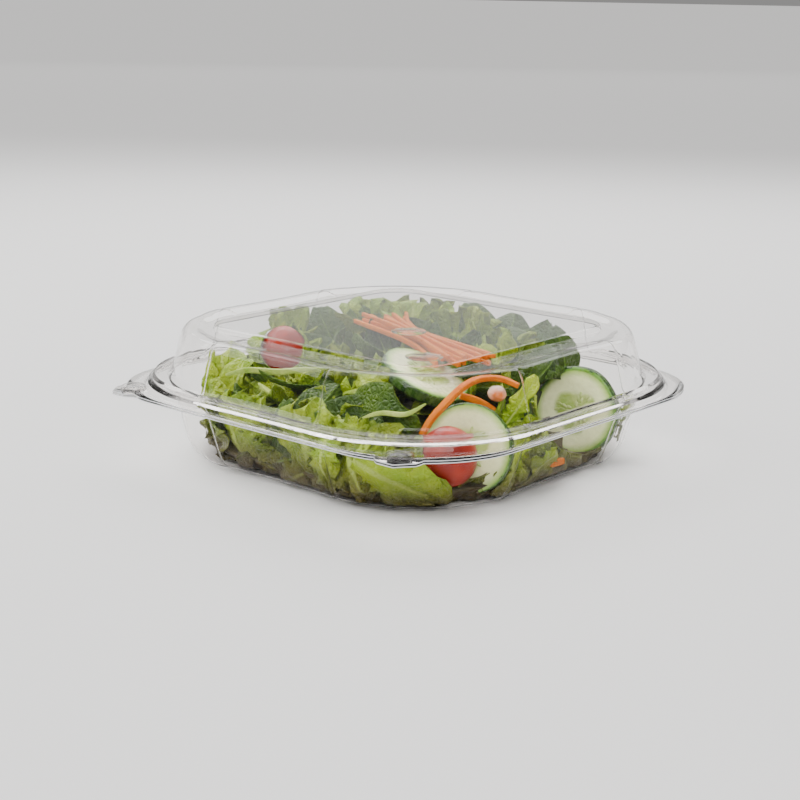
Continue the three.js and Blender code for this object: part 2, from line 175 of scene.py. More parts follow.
# %% The rounded, fluted outline
RIM_Z = 39.0
LIP_HALF = 112.0
LIP_CORNER = 51.0
WALL_FOOT = 104.9
WALL_CORNER = 78.0
LIP_DROP = 4.8
PANEL_HALF = 70.0
PANEL_CORNER = 15.0
PANEL_Z = 25.0
MOAT_Z = 22.4
HINGE_LIP_END = 109.9
CREASE_U = 36.5
CREASE_REACH = 2.6
CREASE_DEPTH = 2.4
CREASE_WIDTH = 0.95
MIDDLE_INSET = 2.3
EDGE_INSET = 0.8
VALLEY_U = 55.0
VALLEY_WIDTH = 5.0
VALLEY_DEPTH = 0.9
FLUTE_FADE = (10, 33)
CREASE_BLEND = 0.7
MIDDLE_STEPS = 8
CREASE_STEPS = 8
CORNER_STEPS = 36


def smoothstep(start, end, x):
    t = min(1.0, max(0.0, (x - start) / (end - start)))
    return t * t * (3 - 2 * t)


def flute_inset(u):
    """How far the wall stands in from its plain outline at distance u from the middle of a side."""
    a = abs(u)
    side = EDGE_INSET + (MIDDLE_INSET - EDGE_INSET) * (1 - smoothstep(*FLUTE_FADE, a))
    valley = VALLEY_DEPTH * math.exp(-(((a - VALLEY_U) / VALLEY_WIDTH) ** 2))
    blend = smoothstep(CREASE_U - CREASE_BLEND, CREASE_U + CREASE_BLEND, a)
    plain = side * (1 - blend) + valley * blend
    groove = math.exp(-(((a - CREASE_U) / CREASE_WIDTH) ** 2))
    return plain + (CREASE_DEPTH - plain) * groove


def side_x(half, corner, u):
    """The plain rounded square's +X side at distance u from its middle."""
    over = max(0.0, abs(u) - (half - corner))
    return half - corner + math.sqrt(max(0.0, corner * corner - over * over))


def corner_path(half, corner):
    """Even points round the (+X, +Y) corner, between the creases of its two sides."""
    start = CREASE_U + CREASE_REACH
    straight = half - corner
    flat = max(0.0, straight - start)
    first = math.asin(max(0.0, start - straight) / corner)
    arc = (math.pi / 2 - 2 * first) * corner
    points = []
    for j in range(CORNER_STEPS):
        way = (2 * flat + arc) * j / CORNER_STEPS
        if way < flat:
            points.append((half, start + way, 0.0))
        elif way > flat + arc:
            points.append((start + 2 * flat + arc - way, half, math.pi / 2))
        else:
            angle = first + (way - flat) / corner
            x = straight + corner * math.cos(angle)
            points.append((x, straight + corner * math.sin(angle), angle))
    return points


def outline(half, corner, z, flute=0.0):
    """One level of the box as a closed loop of points, in metres."""
    inner = CREASE_U - CREASE_REACH
    middle = [inner * (2 * i / MIDDLE_STEPS - 1) for i in range(1, MIDDLE_STEPS)]
    crease = [inner + 2 * CREASE_REACH * i / CREASE_STEPS for i in range(CREASE_STEPS)]
    side = [-u for u in reversed(crease)] + middle + crease
    quadrant = [(side_x(half, corner, u) - flute * flute_inset(u), u) for u in side]
    for x, y, angle in corner_path(half, corner):
        inset = flute * flute_inset(min(x, y))
        quadrant.append((x - inset * math.cos(angle), y - inset * math.sin(angle)))
    loop = []
    for c, s in ((1, 0), (0, 1), (-1, 0), (0, -1)):
        for x, y in quadrant:
            loop.append(Vector((x * c - y * s, min(x * s + y * c, HINGE_LIP_END), z)) * MM)
    return loop


print("points in a loop:", len(outline(100, 70, 0)))

# %% [markdown]
# ## From a profile to a thin sheet
#
# The section of the pressed sheet is a list of levels. Each corner of it is rounded by a curve that starts
# and ends a little before and after the corner, as heated plastic can't take a sharp edge. The other face
# of the sheet is the same list moved by the sheet's thickness. A ring of edges is then extruded from level
# to level, out along the upper face and back along the lower one, so the sheet is one closed skin. A
# Solidify modifier could give the thickness too, but here the rough cut edge has to be told from the rest.

# %% Rounding, offsetting and lofting
SHEET = 0.45
ROUND_STEPS = 5
MOST_OF_SIDE = 0.48


def rounded_profile(levels):
    """Rounds a profile of (half, corner, z, flute, reach): each corner becomes a curve of that reach."""
    made = []
    for i, level in enumerate(levels):
        values, reach = level[:4], level[4]
        if reach == 0:
            made.append(values)
            continue
        before, after = levels[i - 1][:4], levels[i + 1][:4]
        ends = []
        for other in (before, after):
            length = math.hypot(other[0] - values[0], other[2] - values[2])
            share = min(MOST_OF_SIDE, reach / length)
            ends.append([v + (o - v) * share for v, o in zip(values, other)])
        for k in range(ROUND_STEPS + 1):
            t = k / ROUND_STEPS
            made.append([
                (1 - t) ** 2 * a + 2 * t * (1 - t) * v + t * t * b
                for a, v, b in zip(ends[0], values, ends[1])
            ])
    return made


def offset_profile(profile, distance):
    """Moves a profile to its under side by a distance."""
    made = []
    for i, (half, corner, z, flute) in enumerate(profile):
        normals = []
        for a, b in ((i - 1, i), (i, i + 1)):
            if a < 0:
                normals.append(Vector((0, 1)))
            elif b < len(profile):
                run = Vector((profile[b][0] - profile[a][0], profile[b][2] - profile[a][2]))
                normals.append(Vector((-run.y, run.x)).normalized())
        if len(normals) == 1:
            normals.append(normals[0])
        total = normals[0] + normals[1]
        move = total * (2 * distance / total.length_squared)
        made.append((half - move.x, corner - move.x, z - move.y, flute))
    return made


def loft(bm, loops):
    """Extrudes a ring of edges from loop to loop and caps both ends. Returns the rings of vertices."""
    count = len(loops[0])
    ring = bmesh.ops.create_circle(bm, segments=count, radius=1)["verts"]
    for vert, point in zip(ring, loops[0]):
        vert.co = point
    rings = [ring]
    for loop in loops[1:]:
        edges = [bm.edges.get((ring[i], ring[(i + 1) % count])) for i in range(count)]
        made = bmesh.ops.extrude_edge_only(bm, edges=edges)["geom"]
        fresh = {g for g in made if isinstance(g, bmesh.types.BMVert)}
        following = []
        for vert, point in zip(ring, loop):
            follower = next(e.other_vert(vert) for e in vert.link_edges if e.other_vert(vert) in fresh)
            follower.co = point
            following.append(follower)
        ring = following
        rings.append(ring)
    for end in (rings[0], rings[-1]):
        bmesh.ops.contextual_create(bm, geom=end)
    return rings


print("sheet:", SHEET, "mm thick")

# %% [markdown]
# ## From a mesh to a piece of the model
#
# Every piece ends in the same way: its faces are turned outwards and shaded smooth, it gets its materials,
# it is attached to the body it moves with, and the nodes of the solids that it stands for are hidden.

# %% Helper that turns a bmesh into a piece of the model
def piece(name, bm, materials, body, nodes):
    bmesh.ops.recalc_face_normals(bm, faces=bm.faces)
    mesh = bpy.data.meshes.new(name)
    for face in bm.faces:
        face.smooth = True
    bm.to_mesh(mesh)
    bm.free()
    obj = bpy.data.objects.new(name, mesh)
    for material in materials:
        mesh.materials.append(material)
    bpy.context.scene.collection.objects.link(obj)
    if body:
        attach(obj, body)
    if nodes:
        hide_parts(*nodes)
    sides = [[v.co[i] / MM for v in mesh.vertices] for i in range(3)]
    print(f"{name}: {len(mesh.polygons)} faces, {[round(max(s) - min(s), 1) for s in sides]} mm")
    return obj


print("piece helper ready")

# %% [markdown]
# ## Putting a finish together
#
# A material is a net of small nodes. Wiring each by hand takes many lines that say little, so one helper
# gives the nodes that this object needs short names: noise, ramp, mix, math. A second one is a whole
# material, with the shader that the net feeds. The shader itself always stays in the material.

# %% Helpers to put a material together
class Net:
    """Short names for the nodes that a material or a node group is put together from."""

    def __init__(self, tree):
        self.nodes, self.links = tree.nodes, tree.links

    def feed(self, socket, value):
        """Gives a socket the output of another node, a colour or a plain value."""
        if isinstance(value, bpy.types.NodeSocket):
            self.links.new(value, socket)
        else:
            socket.default_value = (*value, 1) if socket.type == "RGBA" else value

    def put(self, kind, **values):
        """Adds a node and feeds its sockets. An underscore in a name stands for a space."""
        node = self.nodes.new("ShaderNode" + kind)
        for label, value in values.items():
            self.feed(node.inputs[label.replace("_", " ")], value)
        return node

    def noise(self, vector, scale, detail=2.0):
        return self.put("TexNoise", Vector=vector, Scale=scale, Detail=detail).outputs["Fac"]

    def ramp(self, value, low, high):
        """Maps a value from low..high to 0..1, without going beyond either."""
        return self.put("MapRange", Value=value, From_Min=low, From_Max=high).outputs["Result"]

    def mix(self, share, first, second):
        """A colour between two."""
        node = self.nodes.new("ShaderNodeMix")
        node.data_type = "RGBA"
        colours = [s for s in node.inputs if s.type == "RGBA"]
        for socket, value in zip((node.inputs[0], *colours), (share, first, second)):
            self.feed(socket, value)
        return next(s for s in node.outputs if s.type == "RGBA")

    def math(self, operation, *values):
        node = self.nodes.new("ShaderNodeMath")
        node.operation = operation
        for socket, value in zip(node.inputs, values):
            self.feed(socket, value)
        return node.outputs["Value"]

    def split(self, vector):
        node = self.put("SeparateXYZ", Vector=vector)
        return node.outputs["X"], node.outputs["Y"], node.outputs["Z"]


class Finish(Net):
    """A material under way: its net of nodes, and the shader that they feed."""

    def __init__(self, name):
        self.material = bpy.data.materials.new(name)
        self.material.use_nodes = True
        super().__init__(self.material.node_tree)
        self.shader = self.nodes["Principled BSDF"]

    def set(self, **values):
        """Feeds the shader's sockets. An underscore in a name stands for a space."""
        for label, value in values.items():
            self.feed(self.shader.inputs[label.replace("_", " ")], value)

    def place(self):
        return self.put("TexCoord").outputs["Object"]

    def attribute(self, name):
        node = self.put("Attribute")
        node.attribute_name = name
        return node.outputs["Vector"]

    def group(self, group, vector, **values):
        node = self.nodes.new("ShaderNodeGroup")
        node.node_tree = group
        for label, value in {"Vector": vector, **values}.items():
            self.feed(node.inputs[label], value)
        return node.outputs

    def mottle(self, vector, scale, first, second):
        return self.group(MOTTLE, vector, Scale=scale, First=first, Second=second)["Color"]

    def film(self, vector, scale, dry, wet):
        outputs = self.group(WET_FILM, vector, Scale=scale, Dry=dry, Wet=wet)
        return outputs["Roughness"], outputs["Height"]

    def bump(self, height, distance, strength):
        node = self.put("Bump", Height=height, Distance=distance, Strength=strength)
        self.set(Normal=node.outputs["Normal"])


print("finish helpers ready")

# %% [markdown]
# ## Shared finishes
#
# Cut vegetables and leaves are never one flat colour. Two effects repeat on all of them: a slow change
# between two colours, and a wet film that makes some spots shinier than others. They could be wired anew in
# each material, but as node groups they are built once, and each material gives them its own values.

# %% Node groups for colour change and wet film
MOTTLE_EDGES = (0.36, 0.66)
FILM_EDGES = (0.4, 0.62)


def node_group(name, inputs, outputs):
    """An empty shader group with (kind, name, value) inputs and (kind, name) outputs."""
    group = bpy.data.node_groups.new(name, "ShaderNodeTree")
    for kind, label, value in inputs:
        socket = group.interface.new_socket(label, in_out="INPUT", socket_type=f"NodeSocket{kind}")
        if value is not None:
            socket.default_value = value
    for kind, label in outputs:
        group.interface.new_socket(label, in_out="OUTPUT", socket_type=f"NodeSocket{kind}")
    given = group.nodes.new("NodeGroupInput").outputs
    return group, Net(group), given, group.nodes.new("NodeGroupOutput").inputs


def build_mottle():
    group, net, given, out = node_group(
        "mottle",
        [("Vector", "Vector", None), ("Float", "Scale", 60.0), ("Color", "First", None),
         ("Color", "Second", None)],
        [("Color", "Color")],
    )
    share = net.ramp(net.noise(given["Vector"], given["Scale"], 3.0), *MOTTLE_EDGES)
    net.feed(out["Color"], net.mix(share, given["First"], given["Second"]))
    return group


def build_wet_film():
    group, net, given, out = node_group(
        "wet_film",
        [("Vector", "Vector", None), ("Float", "Scale", 150.0), ("Float", "Dry", 0.5),
         ("Float", "Wet", 0.15)],
        [("Float", "Roughness"), ("Float", "Height")],
    )
    film = net.noise(given["Vector"], given["Scale"])
    low, high = FILM_EDGES
    share = net.put("MapRange", Value=film, From_Min=low, From_Max=high,
                    To_Min=given["Dry"], To_Max=given["Wet"])
    net.feed(out["Roughness"], share.outputs["Result"])
    net.feed(out["Height"], film)
    return group


MOTTLE = build_mottle()
WET_FILM = build_wet_film()
print("groups:", MOTTLE.name, WET_FILM.name)

# %% [markdown]
# ## Clear plastic
#
# The box is clear, glossy and a little hazy. A transparent shader alone would show no sheet at all. Glass
# with the sheet's real index of refraction, near 1.57, needs more bounces between the many faces than a
# render allows: the light is lost there and leaves black spots. So the body of the sheet bends light only a
# little, and a clear coat with the real index puts the gloss back. The tray gets less coat than the lid,
# because it stands over dark food that a strong gloss would veil. For shadow rays a transparent shader
# takes over, as otherwise a thin clear sheet would leave its contents in the dark.

# %% Clear plastic
SHEET_TINT = (0.98, 0.97, 0.96)
SHADOW_TINT = (0.95, 0.95, 0.95)
COAT_INDEX = 1.5
COAT_ROUGHNESS = 0.04
HAZE_SCALE = 30.0
HAZE_ROUGHNESS = 0.03


def clear_plastic(name, bend, coat):
    """A clear sheet: bend is its index of refraction, coat how much of a sharp gloss it has."""
    finish = Finish(name)
    haze = finish.noise(finish.place(), HAZE_SCALE, 3.0)
    roughness = finish.put("MapRange", Value=haze, To_Min=0.0, To_Max=HAZE_ROUGHNESS).outputs["Result"]
    finish.set(Base_Color=SHEET_TINT, Roughness=roughness, IOR=bend, Coat_Weight=coat, Coat_IOR=COAT_INDEX,
               Coat_Roughness=COAT_ROUGHNESS)
    finish.shader.inputs["Transmission Weight"].default_value = 1
    see_through = finish.put("BsdfTransparent", Color=SHADOW_TINT)
    mix = finish.put("MixShader", Fac=finish.put("LightPath").outputs["Is Shadow Ray"])
    finish.feed(mix.inputs[1], finish.shader.outputs["BSDF"])
    finish.feed(mix.inputs[2], see_through.outputs["BSDF"])
    finish.feed(finish.nodes["Material Output"].inputs["Surface"], mix.outputs["Shader"])
    return finish.material


def cut_edge():
    """Where the sheet was cut out it is rough, and looks white."""
    finish = Finish("cut_edge")
    tone = finish.mottle(finish.place(), 200.0, (0.8, 0.81, 0.84), (0.95, 0.95, 0.96))
    finish.set(Base_Color=tone, Roughness=0.35)
    return finish.material


CLEAR = clear_plastic("clear_plastic", 1.06, 0.3)
CLEAR_TRAY = clear_plastic("clear_plastic_tray", 1.05, 0.08)
CUT_EDGE = cut_edge()
print("materials:", CLEAR.name, CLEAR_TRAY.name, CUT_EDGE.name)

# %% [markdown]
# ## Lid and tray
#
# The lid runs from its raised panel down into a channel, over a rounded shoulder, down the wall and out
# into the flat lip. The tray starts at its floor, and its rim repeats the lid's rim a little lower, because
# the two nest when the box is shut. Both could be cut from the CAD meshes, but a list of levels for each is
# short, and every corner of it can be rounded as the hot sheet was.

# %% Levels of the lid and the tray
LID_LEVELS = [
    (PANEL_HALF - 1, PANEL_CORNER - 1, RIM_Z + PANEL_Z, 0, 0),
    (PANEL_HALF + 1.9, PANEL_CORNER + 1.9, RIM_Z + PANEL_Z, 0, 1.6),
    (PANEL_HALF + 2.3, PANEL_CORNER + 2.3, RIM_Z + MOAT_Z, 0, 0.9),
    (84, 46, RIM_Z + MOAT_Z, 0.3, 3),
    (92.5, 65.5, RIM_Z + 24.2, 0.9, 2.5),
    (99, 72.2, RIM_Z + 24, 1, 6.4),
    (WALL_FOOT - 0.6, WALL_CORNER - 0.6, RIM_Z + 2.4, 0.7, 1.2),
    (WALL_FOOT + 0.8, WALL_CORNER - 1, RIM_Z, 0, 0.8),
    (WALL_FOOT + 3, 64, RIM_Z, 0, 0.9),
    (WALL_FOOT + 4.3, 62, RIM_Z - LIP_DROP, 0, 0.9),
    (LIP_HALF, LIP_CORNER, RIM_Z - LIP_DROP, 0, 0),
]
TRAY_LEVELS = [
    (82, 48, 0.8, 0.6, 0),
    (84, 50, 0.8, 0.6, 1.2),
    (90.5, 56, 3, 0.9, 2),
    (94.2, 60.5, 8.4, 1, 3),
    (102.2, 75.5, RIM_Z - 8, 0.8, 3),
    (WALL_FOOT - 1.2, WALL_CORNER - 2.6, RIM_Z - 2.6, 0.3, 0.8),
]
NEST = 1.1
FLAT_SHARES = (0.12, 0.45, 0.75)
BUTTON_X = 85.0
BUTTON_Y = -103.0
LOBE_R = 10.5


def lobed(loop):
    """Lets the lip's edge run out round the two snap buttons."""
    made = []
    for point in loop:
        side = math.copysign(BUTTON_X, point.x)
        away = Vector((point.x / MM - side, point.y / MM - BUTTON_Y))
        if 0 < away.length < LOBE_R:
            away = away.normalized() * LOBE_R
            made.append(Vector((side + away.x, BUTTON_Y + away.y, point.z / MM)) * MM)
        else:
            made.append(point)
    return made


def flat_middle(level):
    half, corner, z, flute = level
    edge = outline(half, corner, z, flute)
    return [[Vector((p.x * share, p.y * share, p.z)) for p in edge] for share in FLAT_SHARES]


def sheet_mesh(profile):
    """One closed skin: out along the upper face of the profile and back along its under face."""
    under = offset_profile(profile, SHEET)
    upper_loops = [outline(*level) for level in profile]
    under_loops = [outline(*level) for level in under]
    for loops in (upper_loops, under_loops):
        loops[-1] = lobed(loops[-1])
    loops = flat_middle(profile[0]) + upper_loops + under_loops[::-1] + flat_middle(under[0])[::-1]
    bm = bmesh.new()
    rings = loft(bm, loops)
    rim = len(upper_loops) + len(FLAT_SHARES) - 1
    edge = set(rings[rim]) | set(rings[rim + 1])
    for face in bm.faces:
        if all(vert in edge for vert in face.verts):
            face.material_index = 1
    return bm


print("levels:", len(LID_LEVELS), "in the lid,", len(TRAY_LEVELS), "in the tray")

# %% [markdown]
# ## Snap buttons and pressed marks
#
# Two hollow buttons at the front click into each other, and the panel has two small marks pressed into it.
# A cylinder could stand for a button, but the real one is sheet all over, so its section goes up the
# outside and down the inside and is turned round an upright axis. The marks are plain discs with a bead.

# %% Snap buttons, pressed marks, and the two finished shells
BUTTON_R = 6.2
BUTTON_H = 2.4
BUTTON_STEPS = 32
OVAL_R = 8.5
OVAL_STEPS = 64
OVALS = [(12.4, -13.9), (53.5, -51.1)]


def spun(bm, profile, centre, steps=BUTTON_STEPS):
    """Turns a profile of (radius, height) in mm round an upright axis, closed on the axis."""
    verts = [bm.verts.new(Vector((centre[0] + r, centre[1], centre[2] + z)) * MM) for r, z in profile]
    edges = [bm.edges.new(pair) for pair in zip(verts, verts[1:])]
    bmesh.ops.spin(
        bm, geom=verts + edges, cent=Vector(centre) * MM, axis=(0, 0, 1),
        angle=2 * math.pi, steps=steps, use_merge=True, use_normal_flip=False,
    )
    bmesh.ops.remove_doubles(bm, verts=list({v for f in bm.faces for v in f.verts}), dist=1e-6)


def add_button(bm, x, foot_z, radius):
    """A hollow round knob, open below, as thick as the sheet."""
    inner = radius - SHEET
    profile = [
        (0, BUTTON_H), (radius - 1.4, BUTTON_H), (radius - 0.4, BUTTON_H - 0.4),
        (radius - 0.1, BUTTON_H - 1.2), (radius, -0.2), (inner, -0.2),
        (inner - 0.1, BUTTON_H - 1.3), (inner - 0.5, BUTTON_H - 0.7),
        (inner - 1.4, BUTTON_H - SHEET), (0, BUTTON_H - SHEET),
    ]
    spun(bm, profile, (x, BUTTON_Y, foot_z))


def add_oval(bm, x, y):
    """A round mark pressed a little way down into the panel, with a bead at its edge."""
    top = -SHEET - 0.02
    profile = [
        (0, top), (OVAL_R, top), (OVAL_R - 0.3, top - 0.4), (OVAL_R - 1.2, top - 0.5),
        (OVAL_R - 1.8, top - 0.2), (0, top - 0.2),
    ]
    spun(bm, profile, (x, y, RIM_Z + PANEL_Z), OVAL_STEPS)


def build_lid():
    profile = rounded_profile(LID_LEVELS)
    bm = sheet_mesh(profile)
    for x in (-BUTTON_X, BUTTON_X):
        add_button(bm, x, RIM_Z - LIP_DROP, BUTTON_R)
    for x, y in OVALS:
        add_oval(bm, x, y)
    piece("lid_shell", bm, [CLEAR, CUT_EDGE], "lid", ["lid"])


def build_tray():
    """The tray's own levels, and then the lid's rim again from where the two nest."""
    rim = offset_profile(rounded_profile(LID_LEVELS), NEST)
    first_rim = next(i for i, level in enumerate(rim) if level[2] < RIM_Z + 0.2 and level[0] > WALL_FOOT - 1)
    inside = rounded_profile(TRAY_LEVELS + [(*rim[first_rim], 0)])[:-1]
    bm = sheet_mesh(inside + list(rim[first_rim:]))
    for x in (-BUTTON_X, BUTTON_X):
        add_button(bm, x, RIM_Z - LIP_DROP - NEST, BUTTON_R - NEST)
    piece("tray_shell", bm, [CLEAR_TRAY, CUT_EDGE], "base", ["tray"])


build_lid()
build_tray()

# %% [markdown]
# ## Living hinge
#
# On the real box lid and tray are one sheet, and the hinge is a thin fold between their lips. Here it is a
# narrow strip bent into half a tube, attached to neither the lid nor the tray.

# %% Fold between the two lips
HINGE_Z = 33.25
HINGE_HALF_WIDTH = 72.0
HINGE_R = 0.56
HINGE_STEPS = 8
HINGE_SHEET = 0.25
HINGE_ROOT = HINGE_LIP_END - 0.05


def build_hinge():
    bm = bmesh.new()
    ends = [
        bm.verts.new(Vector((x, HINGE_ROOT, HINGE_Z - HINGE_R)) * MM)
        for x in (-HINGE_HALF_WIDTH, HINGE_HALF_WIDTH)
    ]
    bmesh.ops.spin(
        bm, geom=ends + [bm.edges.new(ends)], cent=Vector((0, HINGE_ROOT, HINGE_Z)) * MM,
        axis=(1, 0, 0), angle=math.pi, steps=HINGE_STEPS,
    )
    bmesh.ops.subdivide_edges(bm, edges=[e for e in bm.edges if e.calc_length() > 0.1], cuts=5)
    bmesh.ops.solidify(bm, geom=bm.faces[:], thickness=HINGE_SHEET * MM)
    strip = piece("hinge_fold", bm, [CLEAR], None, [])
    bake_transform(strip)


build_hinge()

# %% [markdown]
# ## Cucumber slices
#
# A slice has a dark green skin with paler streaks, a bright green ring just under it, pale flesh, and in
# the middle three wet pockets of seeds. A flat disc with a picture on it would look printed, so the slice
# is a turned disc with a raised ring and softened rims, and the seeds are meshes. Its colours follow the
# distance from its own middle, so each slice carries its local coordinates as an attribute.

# %% Cut face, skin and seeds
SLICE_T = 6.0
SLICE_SIDES = 72
SLICES = {
    "cucumber_right": (21.8, (70.6, 45, RIM_Z - 15.4), (80, 0, 11)),
    "cucumber_front": (20.9, (72.2, -41.5, RIM_Z - 16.6), (74, 0, 22)),
    "cucumber_top": (21.5, (38, -32, RIM_Z + 9), (0, 26, 14)),
}
FLESH_SHARE = 0.945
SKIN_SHARE = 0.967
POCKETS = 3
SEED_ROWS = 3
SEED_SIZE = (1.6, 0.75, 0.3)
PULP_GREENS = ((0.3, 0.46, 0.08), (0.52, 0.63, 0.2))
FLESH_PALE = (0.88, 0.93, 0.52)
# Rings towards the skin: from and to which distance in mm each colour comes in.
GREEN_RINGS = [(16.5, 19.4, (0.42, 0.6, 0.14)), (19.4, 20.2, (0.13, 0.3, 0.03))]


def turned(turn):
    """A rotation about X, Y and Z in degrees."""
    return Euler([math.radians(a) for a in turn], "XYZ").to_matrix()


def place_matrix(place, turn):
    return Matrix.Translation(Vector(place) * MM) @ turned(turn).to_4x4()


def keep_local(bm, name):
    """Stores each point's place before the piece is turned and moved, in mm."""
    layer = bm.verts.layers.float_vector.new(name)
    for vert in bm.verts:
        vert[layer] = vert.co / MM


def mark_faces(bm, first, slot):
    """Gives the faces from a number on their own material."""
    bm.faces.ensure_lookup_table()
    for face in bm.faces[first:]:
        face.material_index = slot


def cucumber_flesh():
    finish = Finish("cucumber_flesh")
    local = finish.attribute("slice_place")
    x, y, _ = finish.split(local)
    squares = finish.math("ADD", finish.math("MULTIPLY", x, x), finish.math("MULTIPLY", y, y))
    distance = finish.math("SQRT", squares)
    angle = finish.math("ARCTAN2", y, x)
    wobble = finish.noise(local, 0.16)
    lobes = finish.math("SINE", finish.math("MULTIPLY", angle, POCKETS))
    pulp_edge = finish.math("MULTIPLY_ADD", lobes, -1.3, finish.math("MULTIPLY_ADD", wobble, 2.4, distance))
    pulp = finish.mix(finish.ramp(wobble, 0.35, 0.65), *PULP_GREENS)
    colour = finish.mix(finish.ramp(pulp_edge, 10.2, 12.6), pulp, FLESH_PALE)
    for start, end, green in GREEN_RINGS:
        colour = finish.mix(finish.ramp(distance, start, end), colour, green)
    roughness, wet = finish.film(local, 0.35, dry=0.42, wet=0.12)
    spokes = finish.math("SINE", finish.math("MULTIPLY", angle, 31.0))
    finish.set(Base_Color=colour, Roughness=roughness, Subsurface_Weight=0.25,
               Subsurface_Radius=(0.004, 0.004, 0.002), Subsurface_Scale=0.6)
    finish.bump(finish.math("MULTIPLY_ADD", spokes, 0.015, wet), 0.0005, 0.7)
    return finish.material


def cucumber_skin():
    """Streaks run over the thickness of the slice, so the pattern follows the angle round it."""
    finish = Finish("cucumber_skin")
    local = finish.attribute("slice_place")
    x, y, z = finish.split(local)
    around = finish.math("MULTIPLY", finish.math("ARCTAN2", y, x), 5.0)
    streak_place = finish.put("CombineXYZ", X=around, Y=finish.math("MULTIPLY", z, 0.06)).outputs["Vector"]
    roughness, wet = finish.film(local, 0.5, dry=0.4, wet=0.18)
    streaks = finish.mottle(streak_place, 1.6, (0.012, 0.045, 0.006), (0.07, 0.15, 0.02))
    finish.set(Base_Color=streaks, Roughness=roughness)
    finish.bump(wet, 0.0004, 0.6)
    return finish.material


def seed_husk():
    finish = Finish("cucumber_seed")
    tone = finish.mottle(finish.attribute("slice_place"), 0.5, (0.4, 0.52, 0.14), (0.62, 0.7, 0.3))
    finish.set(Base_Color=tone, Roughness=0.2)
    return finish.material


def add_seeds(bm, radius, rng):
    """Flat oval seeds on both faces, in pockets round the middle, pointing outwards."""
    scale = Matrix.Diagonal((*(side * MM for side in SEED_SIZE), 1))
    for face_side in (1, -1):
        for pocket in range(POCKETS):
            for k in range(SEED_ROWS * SEED_ROWS):
                row, column = divmod(k, SEED_ROWS)
                angle = 2 * math.pi * (pocket + 0.5) / POCKETS + (column - 1) * (0.5 - 0.1 * row)
                angle += rng.uniform(-0.08, 0.08)
                way = radius * (0.16 + 0.13 * row + rng.uniform(-0.02, 0.02))
                height = face_side * (SLICE_T / 2 - 0.15)
                place = Vector((way * math.cos(angle), way * math.sin(angle), height))
                turn = Matrix.Rotation(angle + rng.uniform(-0.25, 0.25), 4, "Z")
                matrix = Matrix.Translation(place * MM) @ turn @ scale
                bmesh.ops.create_icosphere(bm, subdivisions=2, radius=1, matrix=matrix)


def build_slice(name, radius, place, turn, rng):
    """A section of (share of the radius, height) is turned, made a little uneven, and given its seeds."""
    bm = bmesh.new()
    half = SLICE_T / 2
    rise = [(0, half - 0.5), (0.2, half - 0.45), (0.36, half - 0.4), (0.5, half - 0.28), (0.6, half - 0.05),
            (0.8, half), (0.9, half - 0.03), (FLESH_SHARE, half - 0.12)]
    edge = [(0.975, half - 0.35), (0.995, half - 0.85), (1, half - 1.5), (1, 0)]
    upper = [(share * radius, z) for share, z in rise + edge]
    profile = upper + [(r, -z) for r, z in upper[-2::-1]]
    spun(bm, profile, (0, 0, 0), SLICE_SIDES)
    for vert in bm.verts:
        x, y, z = vert.co / MM
        away = math.hypot(x, y)
        if away > 0.5:
            angle = math.atan2(y, x)
            swell = 1 + 0.012 * math.sin(3 * angle + radius) + 0.006 * math.sin(7 * angle)
            vert.co = Vector((x * swell, y * swell, z)) * MM
    for face in bm.faces:
        middle = face.calc_center_median() / MM
        face.material_index = 1 if math.hypot(middle.x, middle.y) > SKIN_SHARE * radius else 0
    disc_faces = len(bm.faces)
    add_seeds(bm, radius, rng)
    mark_faces(bm, disc_faces, 2)
    keep_local(bm, "slice_place")
    bmesh.ops.transform(bm, matrix=place_matrix(place, turn), verts=bm.verts)
    piece(name + "_slice", bm, [FLESH, SKIN, SEED], "base", [name])


FLESH, SKIN, SEED = cucumber_flesh(), cucumber_skin(), seed_husk()
slice_rng = random.Random(3)
for name, (radius, place, turn) in SLICES.items():
    build_slice(name, radius, place, turn, slice_rng)

# %% [markdown]
# ## Cherry tomatoes
#
# A cherry tomato is a nearly round ball with a tight, mirror-like skin and a small pale scar where its
# stem was. Under the skin lie fine lighter threads and dots. A strong gloss would lay a white veil over the
# red, so the body shines little, and a thin clear coat over it gives the small sharp lights. The ball is
# stretched and ribbed by a formula, where sculpting by hand would not give the same fruit twice.

# %% Tomato skin and scar
TOMATOES = {
    "tomato_front": (13, (75.1, -59.2, RIM_Z - 15.7), (-60, 0, 20)),
    "tomato_left": (12, (-60, -26, RIM_Z + 5.5), (60, 0, 0)),
}
TOMATO_STRETCH = 1.08
SCAR_R = 1.25
SCAR_FLATNESS = 0.45


def tomato_skin():
    finish = Finish("tomato_skin")
    local = finish.attribute("tomato_place")
    _, y, _ = finish.split(local)
    tone = finish.mottle(local, 0.09, (0.24, 0.006, 0.001), (0.4, 0.02, 0.002))
    specks = finish.ramp(finish.noise(local, 1.5, 4.0), 0.6, 0.78)
    speckled = finish.mix(specks, tone, (0.5, 0.06, 0.006))
    colour = finish.mix(finish.ramp(y, 11.9, 13.1), speckled, (0.62, 0.2, 0.05))
    finish.set(Base_Color=colour, Roughness=0.35, Specular_IOR_Level=0.2,
               Coat_Weight=0.25, Coat_Roughness=0.05,
               Subsurface_Weight=0.2, Subsurface_Radius=(0.006, 0.0015, 0.001), Subsurface_Scale=0.5)
    finish.bump(finish.noise(local, 0.35), 0.0004, 0.25)
    return finish.material


def stem_scar():
    finish = Finish("stem_scar")
    tone = finish.mottle(finish.place(), 900.0, (0.3, 0.2, 0.07), (0.55, 0.42, 0.16))
    finish.set(Base_Color=tone, Roughness=0.7)
    return finish.material


